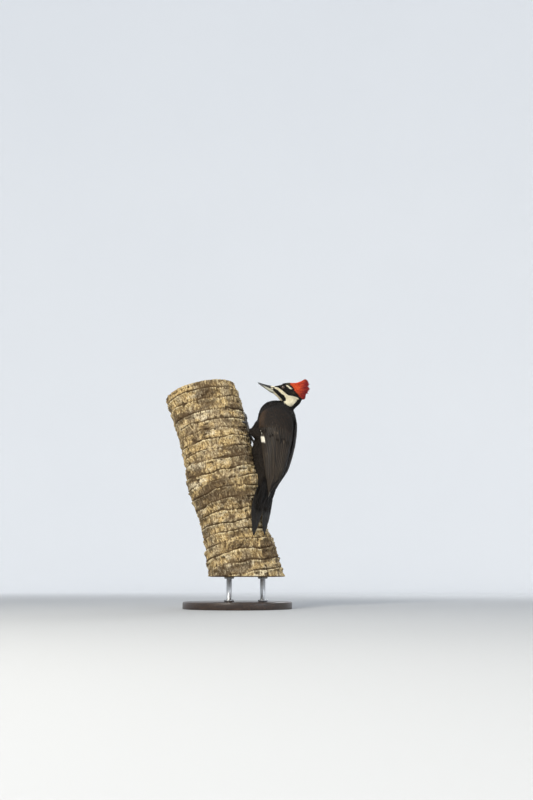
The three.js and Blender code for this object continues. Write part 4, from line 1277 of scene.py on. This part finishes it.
def flight_finish(name, black, web, streak):
    """A finish for long feathers: black webs with grey streaks, brown outer edges and a paler shaft,
    partly worn and partly painted highlight.
    """
    made = Finish(name, 0.5, specular_ior_level=0.22, sheen_weight=0.01, sheen_roughness=0.5)
    split, along, chance = (made.mark("vane", "Vector").part(axis) for axis in "XYZ")
    white = made.mark("tone", "Vector").part("X")
    grain = made.node("CombineXYZ", {}, {"X": split * 3.2, "Y": along * 1.6, "Z": chance * 37})
    long_streaks = grain.noise(1.0, 3, 0.6)
    cloud = made.place().noise(60, 3)
    dark = (long_streaks.between(0.40, 0.62) * (0.35 + cloud * 0.6)).mix(black, web)
    # The pale outer edges and shafts are partly wear and partly painted highlight.
    outer = (split * -1).between(0.45, 1.0) * along.between(0.05, 0.5) * (0.30 + chance * 0.5)
    wear = grain.stretched(0.6, 1.3, 1).noise(1.0, 2, 0.5)
    worn = wear.between(0.60, 0.72) * cloud.between(0.5, 0.6)
    edged = (worn * 0.7).mix(outer.mix(dark, streak), tuple(c * 2.2 for c in streak))
    shaft = abs(split).between(0.12, 0.04)
    shafted = (shaft * 0.5 * along.between(1.0, 0.3)).mix(edged, streak)
    made.set("Base Color", white.mix(shafted, (0.84, 0.80, 0.68)))
    made.set("Roughness", 0.42 + long_streaks * 0.25)
    barbs = (along * 420 - abs(split) * 26).sine()
    made.bump(barbs * 0.15 + long_streaks, 0.00025, 0.45)
    return made


wing_plumage = flight_finish(
    "wing_plumage", (0.0044, 0.0034, 0.0029), (0.021, 0.0138, 0.0087), (0.064, 0.047, 0.030),
)
# The brown of the shoulder feathers is painted warm light.
shoulder_plumage = plumage("shoulder_plumage", (0.0042, 0.0035, 0.0033), (0.050, 0.030, 0.017), 0.68)
# Primaries: tip height, place across at root and at tip.
PRIMARY_TIPS = (
    (-58, 0.055, 0.05), (-76, 0.075, 0.08), (-92, 0.10, 0.12), (-106, 0.13, 0.20), (-117, 0.17, 0.32),
    (-124, 0.21, 0.46), (-127, 0.25, 0.56), (-121, 0.29, 0.60), (-113, 0.33, 0.58),
)
SECONDARY_COUNT = 9
# The white at the low edge: lowest and highest place, reach across the wing, softness of its ends.
WHITE_SPOTS = ((-5.5, 9, 0.115, 0.7), (15.5, 22.5, 0.06, 1))


def wing_white(z, across):
    patch_share, dab = (
        between(z, low - soft, low + soft) * between(-z, -high - soft, -high + soft) * (across < deep)
        for low, high, deep, soft in WHITE_SPOTS
    )
    return np.maximum(patch_share, dab)


def flight_tone(points, vane):
    z, across = place_on_wing(points)
    pale_tip = 0.2 * between(-z, 113, 121) * (np.abs(vane[:, 0]) < 0.25)
    return stacked(np.maximum(wing_white(z, across), pale_tip), 0.0, 0.0)


def covert_tone(points, vane):
    z, across = place_on_wing(points)
    return stacked(wing_white(z, across) * (z > 13), 0.0, 0.0)


# Painted light: the small coverts turn brown low on the side of each wing, as if lit by warm sunlight.
def lesser_sunlit_tone(points, vane):
    z, turn = height_and_turn(points, wing_middle)
    return stacked(0.0, 0.0, 0.03 + 0.62 * between(turn, 88, 112) * between(-z, -88, -70))


for side_name, side in (("left", 1), ("right", -1)):

    def wing_surface(z, centre, wide, layer, off):
        across = centre + wide / np.maximum(wing_breadth(np.clip(z, WING_TIP + 6, WING_TOP)), 6)
        return on_wing(side, z, across, layer, off)

    chance = np.random.default_rng(400 + side)
    feathers = []
    for i, (tip, cross0, cross1) in enumerate(PRIMARY_TIPS):
        layer = 0.30 + 0.045 * i
        feathers.append((46, tip, cross0, cross1, 5.6, layer, layer + 0.05, 0.72, 1.5))
    for i in range(SECONDARY_COUNT):
        share = i / (SECONDARY_COUNT - 1)
        tip = -105 + 30 * share**1.3
        layer = 0.62 + 0.034 * i
        across = (0.37 + 0.56 * share, 0.50 + 0.42 * share)
        feathers.append((40, tip, *across, 6.8, layer, layer, 0.80, 2.0))
    vanes = flight_vanes(wing_surface, feathers, 44, 410 + side, flight_tone)
    flight = make_piece(f"wing_{side_name}_flight", wing_plumage, *vanes)
    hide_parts(f"wing_{side_name}")

    # Underlayer: one thin closed plate that the long feathers lie on.
    rows, columns = 60, 24
    along = np.linspace(WING_TIP + 16, WING_TOP - 4, rows)[:, None]
    spread_across = np.linspace(0.05, 0.95, columns)
    across_ring = np.concatenate([spread_across, spread_across[::-1][1:-1]])
    layer = np.repeat([0.34, 0.05], [columns, columns - 2])
    points = on_wing(side, along, across_ring, layer).reshape(-1, 3)
    bare = np.zeros((len(points), 3))
    bare_marks = {"tone": bare, "vane": bare + [0.0, 0.4, 0.3]}
    under_faces = tube_faces(rows, len(across_ring))
    under = make_piece(f"wing_{side_name}_under", wing_plumage, points, under_faces, bare_marks)

    # Coverts: the great row, the middle row, those over the primaries, and the small ones above.
    coverts = []
    for i in range(13):
        share = i / 12
        tip = 10 - 16 * share + chance.normal(0, 4.5)
        across = (0.27 + 0.70 * share, 0.29 + 0.67 * share)
        coverts.append((62 - 6 * share, tip, *across, 4.9, 0.90, 0.95, 0.50, 1.5))
    for i in range(7):
        share = i / 6
        tip = 20 + 4 * share + chance.normal(0, 2.5)
        across = (0.03 + 0.21 * share, 0.035 + 0.23 * share)
        coverts.append((60, tip, *across, 3.8, 0.80 + 0.08 * share, 0.85 + 0.06 * share, 0.55, 1.0))
    for i in range(16):
        share = i / 15
        tip = 30 - 8 * share + chance.normal(0, 3.5)
        coverts.append((72, tip, 0.06 + 0.92 * share, 0.07 + 0.90 * share, 4.2, 0.93, 0.985, 0.50, 1.2))
    vanes = flight_vanes(wing_surface, coverts, 14, 420 + side, covert_tone)
    covert_piece = make_piece(f"wing_{side_name}_coverts", wing_plumage, *vanes)

    small = []
    for row in range(20):
        z_root = 40 + row * 2.65
        count = int(wing_breadth(min(z_root, 88)) / 3.0)
        for i in range(count):
            share = (i + 0.5 * (row % 2) + chance.normal(0, 0.12)) / count
            cross = 0.02 + 0.96 * share
            drop = chance.uniform(10, 17)
            across = (cross, cross + chance.normal(0, 0.01))
            layers = (0.95 + 0.002 * row, 1.0 + 0.002 * row)
            small.append((min(z_root + 3, 91), z_root - drop + 3, *across, 2.2, *layers, 0.35, 0.8))
    vanes = flight_vanes(wing_surface, small, 6, 430 + side, lesser_sunlit_tone, 0.0)
    small_piece = make_piece(f"wing_{side_name}_lesser", shoulder_plumage, *vanes)

# The shoulder feathers of the mantle lie over the upper edge of each wing.


def over_wing_top(points):
    z, turn = height_and_turn(points, torso_middle)
    return (z > 79) & (z < 108) & (turn < wing_low_edge(z) + 14) & (to_head(points)[:, 2] < -38)


roots = roots_on_skin(over_wing_top, 1.7, 440)
chance = np.random.default_rng(441)
root_height = to_body(roots)[:, 2]
depths = (4.3 + 1.5 * between(-root_height, -104, -80)) * chance.uniform(0.95, 1.05, len(roots))
lengths, widths = (chance.uniform(*reach, len(roots)) for reach in ((15, 21), (2.6, 3.8)))
vanes = laid_vanes(roots, feather_lie(roots), lengths, widths, depths, 442, 6, 0.13)
scapulars = make_piece("coat_shoulders", black_plumage, *vanes)

# ---- tail -----------------------------------------------------------------------------------------
# Stiff pointed tail feathers in two bundles, pressed against the trunk as a prop, with strong shafts
# and worn tips; the middle pair is the longest and lies on top.

TAIL_LOW = 72
TAIL_HIGH = 202
TAIL_FACE = math.radians(50)
tail_across = PERCH_SIDE * math.cos(TAIL_FACE) - PERCH_FRONT * math.sin(TAIL_FACE)
tail_out = PERCH_FRONT * math.cos(TAIL_FACE) + PERCH_SIDE * math.sin(TAIL_FACE)
tail_middle = profile((72, -18), (126, 8), (168, 28), (202, 44))
tail_lift = profile((72, 80), (126, 81), (168, 87), (202, 97))
TAIL_EDGES = {
    -1: (
        profile((0, 17.5), (0.1, 13), (0.2, 8), (0.31, 2), (0.4, -3)),
        profile((0, 21), (0.07, 26.5), (0.18, 30), (0.34, 33.5), (0.55, 35), (0.8, 31), (1, 20)),
    ),
    1: (
        profile((0, 16), (0.07, 8), (0.16, 2), (0.31, -2), (0.4, -3)),
        profile((0, 20), (0.05, 25.5), (0.16, 30.5), (0.34, 35.5), (0.55, 37), (0.8, 33), (1, 21)),
    ),
}
tail_plumage = flight_finish(
    "tail_plumage", (0.0042, 0.0036, 0.0032), (0.012, 0.0090, 0.0066), (0.050, 0.040, 0.028),
)
# Tip place along the bundle, place across at root and at tip, half width, layer.
TAIL_FEATHERS = (
    (0.34, 0.80, 0.90, 5.0, 0.14), (0.21, 0.70, 0.82, 6.0, 0.28), (0.12, 0.58, 0.72, 7.0, 0.44),
    (0.055, 0.46, 0.62, 7.6, 0.60), (0.0, 0.32, 0.42, 8.4, 0.78), (0.03, 0.22, 0.30, 7.6, 0.92),
)


def over_tail(t, across, lift):
    """Points at a height up the trunk, a place across the tail and a lift off its middle."""
    t, across, lift = t[..., None], across[..., None], lift[..., None]
    return PERCH_FOOT + PERCH_AXIS * t + tail_across * across + tail_out * lift


for side, (tail_inner, tail_outer) in TAIL_EDGES.items():

    def tail_surface(along, centre, wide, layer, off):
        inner, outer = tail_inner(along), tail_outer(along)
        place = np.clip(inner + centre * (outer - inner) + wide, inner - 0.3, outer + 0.3)
        t = TAIL_LOW + along * (TAIL_HIGH - TAIL_LOW)
        drape = 0.0022 * place**2 * (0.4 + 0.6 * along)
        full = np.sqrt(np.sin(math.pi * np.clip(0.15 + along, 0, 1)))
        lift = tail_lift(t) - drape + layer * 3.2 * (0.3 + 0.7 * full) + off * 0.6
        return over_tail(t, tail_middle(t) + side * place, lift)

    feathers = [(1.0, *crosswise, layer, layer, 0.50, 0.0) for *crosswise, layer in TAIL_FEATHERS]
    vanes = flight_vanes(tail_surface, feathers, 40, 450 + side, lambda p, vane: 0 * p, 0.10)
    bundle = make_piece(f"tail_{'left' if side < 0 else 'right'}", tail_plumage, *vanes)
    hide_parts("tail")

# The rump's last feathers lie over the roots of the tail.
TAIL_COVERTS = 210
chance = np.random.default_rng(460)
share = np.linspace(-1, 1, TAIL_COVERTS) + chance.normal(0, 0.03, TAIL_COVERTS)
height = chance.uniform(-106, -82, TAIL_COVERTS)
turn = np.radians(78) * share
behind = torso_middle(height) + torso_depth(height) * np.cos(turn) - 1.5
begin = from_body(stacked(torso_width(height) * np.sin(turn), behind, height))
t = 166 - 42 * chance.random(TAIL_COVERTS) ** 1.6
lift = tail_lift(t) + 3.3 + 1.2 * (1 - share**2) - 0.0018 * (27 * share) ** 2
finish_at = over_tail(t, tail_middle(t) - 27 * share, lift)
s = np.linspace(0, 1, 9)[None, :, None]
hump = (begin + finish_at) / 2 + tail_out * 4.5
spines = begin[:, None] * (1 - s) ** 2 + hump[:, None] * 2 * s * (1 - s) + finish_at[:, None] * s**2
widths = chance.uniform(3.4, 5.4, TAIL_COVERTS)
vanes = free_vanes(spines, tail_across, widths, 461, (0.0, 0.0, 0.15), 0.06, 0.2, 5, 0.25)
tail_coverts = make_piece("coat_tail_coverts", black_plumage, *vanes)

# ---- feet -----------------------------------------------------------------------------------------
# Bare grey shanks and toes, cast in resin with rows of horny plates on top, two toes up and two
# round the bark, each with a sharp hooked claw of dark horn.

TARSUS_RADIUS = 3.1
TOE_RADIUS = 2.3
CLAW_LENGTH = 11
TOE_CLEAR = TOE_RADIUS + 0.5
TOE_JOINT = 6.2
FEET = (
    ("left", (347, math.radians(75)), ((24, 20), (-5, 19), (-98, 22), (-150, 13))),
    ("right", (326, math.radians(101)), ((-26, 20), (0, 21), (104, 25), (155, 14))),
)


def smooth_path(knots, steps):
    """Evenly spaced points on a smooth line through knots."""
    knots = np.asarray(knots, float)
    ends = np.concatenate([[2 * knots[0] - knots[1]], knots, [2 * knots[-1] - knots[-2]]])
    place = np.linspace(0, len(knots) - 1, steps)
    i = np.minimum(place.astype(int), len(knots) - 2)
    t = (place - i)[:, None]
    a, b, c, d = (ends[i + k] for k in range(4))
    curve = (2 * a - 5 * b + 4 * c - d) * t**2 + (3 * b - a - 3 * c + d) * t**3
    return 0.5 * (2 * b + (c - a) * t + curve)


def limb(knots, radius, upward, steps, sides, plates=0.0, plate_every=1.7, flat=1.0):
    """A closed tube along a path, with raised plates across its upper side."""
    path = smooth_path(knots, steps)
    ahead = unit(np.gradient(path, axis=0))
    up = unit(upward - ahead * (ahead @ upward)[:, None])
    across = np.cross(ahead, up)
    turn = full_turn(sides)
    run = np.concatenate([[0], np.cumsum(np.linalg.norm(np.diff(path, axis=0), axis=1))])[:, None]
    share = run / run[-1]
    saw = np.mod(run / plate_every, 1)
    raised = plates * np.maximum(np.cos(turn), 0) ** 0.6 * ((saw**0.6) * (1 - saw**8))
    beads = 0.35 * plates * np.maximum(-np.cos(turn), 0) * np.abs(np.sin(run * 2.4))
    size = radius(share) + raised + beads
    off = across[:, None] * np.sin(turn)[:, None] * flat + up[:, None] * np.cos(turn)[:, None]
    points = path[:, None] + off * size[..., None]
    marks = stacked(np.cos(turn), saw, share)
    return points.reshape(-1, 3), tube_faces(steps, sides), marks.reshape(-1, 3)


foot_skin = Finish("foot_skin", 0.5, specular_ior_level=0.4)
plate_top, plate_saw = (foot_skin.mark("plate", "Vector").part(axis) for axis in "XY")
scuff = foot_skin.place().noise(900, 3)
slate = scuff.between(0.3, 0.7).mix((0.028, 0.027, 0.026), (0.066, 0.062, 0.056))
sole = plate_top.between(-0.2, -0.8).mix(slate, (0.100, 0.088, 0.064))
foot_skin.set("Base Color", (plate_saw.between(0.25, 0.0) * 0.75).mix(sole, (0.022, 0.022, 0.023)))
foot_skin.set("Roughness", 0.45 + scuff * 0.2)
foot_skin.bump(scuff, 0.0002, 0.5)
claw_horn = Finish("claw_horn", 0.3, specular_ior_level=0.5, coat_weight=0.3, coat_roughness=0.2)
claw_share = claw_horn.mark("plate", "Vector").part("Z")
claw_grain = claw_horn.place().noise(1200, 3)
claw_colour = claw_share.mix((0.060, 0.058, 0.055), (0.016, 0.015, 0.014))
claw_horn.set("Base Color", (claw_grain * 0.4).mix(claw_colour, (0.095, 0.090, 0.080)))
claw_horn.bump(claw_grain, 0.0001, 0.4)


def shank_size(share):
    return TARSUS_RADIUS * (1.22 - 0.34 * np.sin(math.pi * share))


def claw_size(share):
    return 1.95 * (1 - share) ** 0.75 + 0.12


for side_name, (ball_t, ball_psi), toes in FEET:
    ball = on_perch(ball_t, ball_psi, TARSUS_RADIUS + 1.2)
    knee, heel = LEG_ENDS[side_name]
    away = unit(ball - on_perch(ball_t, ball_psi, -30))
    above = heel + (heel - ball) * 0.05 + unit(knee - heel) * 6
    shank_path = [above, heel, heel * 0.5 + ball * 0.5 + PERCH_AXIS * 0.5, ball]
    limbs = [limb(shank_path, shank_size, away, 70, 20, 0.28, 2.6)]
    claws = []
    girth = perch_radius(ball_t, ball_psi)
    for turn, length in toes:
        ahead_t, ahead_psi = math.cos(math.radians(turn)), math.sin(math.radians(turn))

        def toe_at(run, off):
            return on_perch(ball_t + run * ahead_t, ball_psi + run * ahead_psi / girth, off)

        def toe_size(share):
            joints = 0.10 * np.cos(share * length / TOE_JOINT * 2 * math.pi) * (share < 0.9)
            end = np.where(share > 0.92, 1 - 0.55 * ((share - 0.92) / 0.08) ** 2, 1)
            return TOE_RADIUS * (1.06 - 0.18 * share + joints) * end

        knots = [toe_at(length * i / 4, TOE_CLEAR + 0.8 * (i % 2)) for i in range(5)]
        claw_runs = (-1.6, 2.2, CLAW_LENGTH * 0.5, CLAW_LENGTH * 0.82, CLAW_LENGTH)
        claw_lifts = (TOE_CLEAR + 0.5, TOE_CLEAR + 1.7, TOE_CLEAR + 1.9, TOE_CLEAR + 0.2, 0.2)
        claw_knots = [toe_at(length + run, off) for run, off in zip(claw_runs, claw_lifts)]
        toe_up = unit(toe_at(length / 2, 10) - toe_at(length / 2, 0))
        limbs.append(limb(knots, toe_size, toe_up, 44, 18, 0.30, 1.75))
        claws.append(limb(claw_knots, claw_size, toe_up, 26, 14, 0.0, 1.7, 0.62))
    for kind, parts, finish in (("toes", limbs, foot_skin), ("claws", claws, claw_horn)):
        points, face_sets = joined([part[:2] for part in parts])
        plates = np.concatenate([part[2] for part in parts])
        piece = make_piece(f"foot_{side_name}_{kind}", finish, points, face_sets, {"plate": plates})
        if kind == "toes":
            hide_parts(f"foot_{side_name}")

# ---- bill -----------------------------------------------------------------------------------------
# A straight chisel bill of painted resin: the upper half dark slate horn with a ridge and a groove,
# the lower half pale, meeting along the gape, with pale bristles over the nostrils.

BILL_BASE = 23.3
BILL_LENGTH = 38.6
BILL_SET = 4.5
culmen = profile((-6, -1.4), (0, -1.2), (20, -0.4), (BILL_LENGTH, 1.6))
gape = profile((-6, -10.2), (0, -9), (BILL_LENGTH, 0.5))
keel = profile((-6, -18.4), (0, -17.7), (15, -11.6), (BILL_LENGTH, -0.6))


def bill_half(top, bottom, tip, ridge, steps=84, sides=48):
    run = (-BILL_SET + (tip + BILL_SET) * np.linspace(0, 1, steps) ** 0.9)[:, None]
    turn = full_turn(sides)
    width = 6.75 * (1 - 0.86 * (np.clip(run, 0, BILL_LENGTH) / BILL_LENGTH) ** 0.9)
    high, low = top(run), bottom(run)
    upward = np.cos(turn) * ridge
    narrowed = 1 - 0.34 * np.maximum(upward, 0) ** 1.3
    side_share = np.sign(np.sin(turn)) * np.abs(np.sin(turn)) ** 0.8
    groove = 0.5 * np.exp(-((upward - 0.25) / 0.16) ** 2) * between(-run, -22, -2) * (ridge > 0)
    y = width * side_share * narrowed - np.sign(np.sin(turn)) * groove
    z = (high + low) / 2 + np.cos(turn) * (high - low) / 2
    end = np.clip((tip - run) / 1.6, 0, 1) ** 0.5
    y = y * end
    z = z * end + (high + low) / 2 * (1 - end)
    points = from_head(stacked(BILL_BASE + run, y, z)).reshape(-1, 3)
    place = stacked(run / BILL_LENGTH, upward, 0.0).reshape(-1, 3)
    return points, tube_faces(steps, sides), {"horn": place}


def bill_horn(name, base, tip, edge):
    made = Finish(name, 0.42, specular_ior_level=0.35)
    run, height = (made.mark("horn", "Vector").part(axis) for axis in "XY")
    stretched = made.node("CombineXYZ", {}, {"X": run * 3, "Y": height * 9, "Z": run * 0.5})
    grain = stretched.noise(1.0, 4, 0.6)
    low_edge = height.between(-0.35, -0.9)
    worn = (grain.between(0.42, 0.68) * 0.6).mix(low_edge.mix(base, edge), edge)
    made.set("Base Color", run.between(0.3, 0.8).mix(worn, tip))
    made.set("Roughness", 0.38 + grain * 0.25)
    made.bump(grain, 0.00025, 0.5)
    return made


dark_horn = bill_horn("dark_horn", (0.018, 0.018, 0.018), (0.009, 0.009, 0.010), (0.036, 0.035, 0.032))
pale_horn = bill_horn("pale_horn", (0.360, 0.355, 0.285), (0.060, 0.058, 0.050), (0.420, 0.405, 0.320))
for name, top, bottom, tip, ridge, horn, slot in (
    ("bill_upper", culmen, lambda r: gape(r) + 0.12, BILL_LENGTH, 1, dark_horn, "bill_horn_dark"),
    ("bill_lower", lambda r: gape(r) - 0.12, keel, BILL_LENGTH - 2.0, -1, pale_horn, "bill_horn_pale"),
):
    half_bill = make_piece(f"{name}_horn", horn, *bill_half(top, bottom, tip, ridge))
    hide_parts(name)

BRISTLES = 90
chance = np.random.default_rng(500)
lateral = chance.uniform(0.25, 1.0, (BRISTLES, 1)) * np.where(np.arange(BRISTLES) % 2, 1, -1)[:, None]
start_x = chance.uniform(18.5, 22.5, (BRISTLES, 1))
start_z = -1.8 - 6.0 * chance.random((BRISTLES, 1))
reach = chance.uniform(4.0, 8.0, (BRISTLES, 1))
s = np.linspace(0, 1, 6)
path_y = (3.0 * np.sign(lateral) + 3.9 * lateral) * (1 - 0.25 * s)
path_z = start_z + 0.18 * reach * (-0.2 - start_z / 9) * s - 0.2 * np.sin(math.pi * s)
spines = from_head(stacked(start_x + reach * s, path_y, path_z))
vanes = free_vanes(spines, head_up, chance.uniform(0.7, 1.3, BRISTLES), 501, (0.92, 0.0, 0.2), 0.1, 0.12)
bristles = make_piece("nasal_bristles", black_plumage, *vanes)

# ---- eyes -----------------------------------------------------------------------------------------
# Glass eyes: a dark pupil in an amber brown iris under a clear dome, each in a rim of bare grey
# skin that closes over its edge.

eye_glass = Finish("eye_glass", 0.08, specular_ior_level=0.4, coat_weight=0.6, coat_roughness=0.02)
gaze = eye_glass.mark("gaze")
rays = eye_glass.place().noise(2600, 2)
iris = (rays.between(0.3, 0.7)).mix((0.100, 0.038, 0.012), (0.200, 0.088, 0.028))
rim_dark = gaze.between(0.80, 0.70).mix(iris, (0.030, 0.016, 0.010))
eye_glass.set("Base Color", gaze.between(0.890, 0.905).mix(rim_dark, (0.004, 0.004, 0.004)))
lid_skin = Finish("lid_skin", 0.55)
lid_grain = lid_skin.place().noise(1500, 3)
lid_skin.set("Base Color", lid_grain.mix((0.016, 0.015, 0.014), (0.040, 0.037, 0.034)))
lid_skin.bump(lid_grain, 0.0002, 0.5)
EYE_ROWS, EYE_SIDES = 40, 64
LID_STEPS, LID_SIDES = 60, 10
for side_name, side in (("left", 1), ("right", -1)):
    eye_middle = np.array([0, side * EYE_SPREAD, 0])
    turn = full_turn(EYE_SIDES)
    fall = np.linspace(0.02, math.pi - 0.02, EYE_ROWS)[:, None]
    direction = stacked(np.sin(fall) * np.cos(turn), side * np.cos(fall), np.sin(fall) * np.sin(turn))
    direction = direction.reshape(-1, 3)
    looking = direction @ unit(np.array([0.16, side, 0.05]))
    points = from_head(direction * EYE_RADIUS + eye_middle)
    eye_faces = tube_faces(EYE_ROWS, EYE_SIDES)
    ball = make_piece(f"eye_{side_name}_glass", eye_glass, points, eye_faces, {"gaze": looking})
    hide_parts(f"eye_{side_name}")
    rim_turn = full_turn(LID_STEPS)
    rim_x, rim_z = EYE_RIM[0] * 0.97 * np.cos(rim_turn), EYE_RIM[1] * 0.97 * np.sin(rim_turn)
    rim_y = side * (EYE_SPREAD + np.sqrt(np.maximum(LID_REACH**2 - rim_x**2 - rim_z**2, 0)) + 0.05)
    rim_path = from_head(stacked(rim_x, rim_y, rim_z))[:, None]
    around = full_turn(LID_SIDES)[:, None]
    ahead = unit(np.roll(rim_path, -1, 0) - np.roll(rim_path, 1, 0))
    outward = unit(rim_path - from_head(eye_middle))
    size = (0.48 + 0.08 * np.sin(rim_turn * 9))[:, None, None]
    points = rim_path + (outward * np.cos(around) + np.cross(ahead, outward) * np.sin(around)) * size
    lid_faces = round_faces(LID_STEPS + 1, LID_SIDES) % (LID_STEPS * LID_SIDES)
    lid = make_piece(f"eye_{side_name}_lid", lid_skin, points.reshape(-1, 3), [lid_faces])

# ---- sizes and finish -----------------------------------------------------------------------------
# The box round the finished model, set beside the box of the plain solids, to show how far the
# feathers and the bark stand off them.

new_low, new_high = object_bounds()
sizes = {"cad": [list(cad_low), list(cad_high)], "visual": [list(new_low), list(new_high)]}
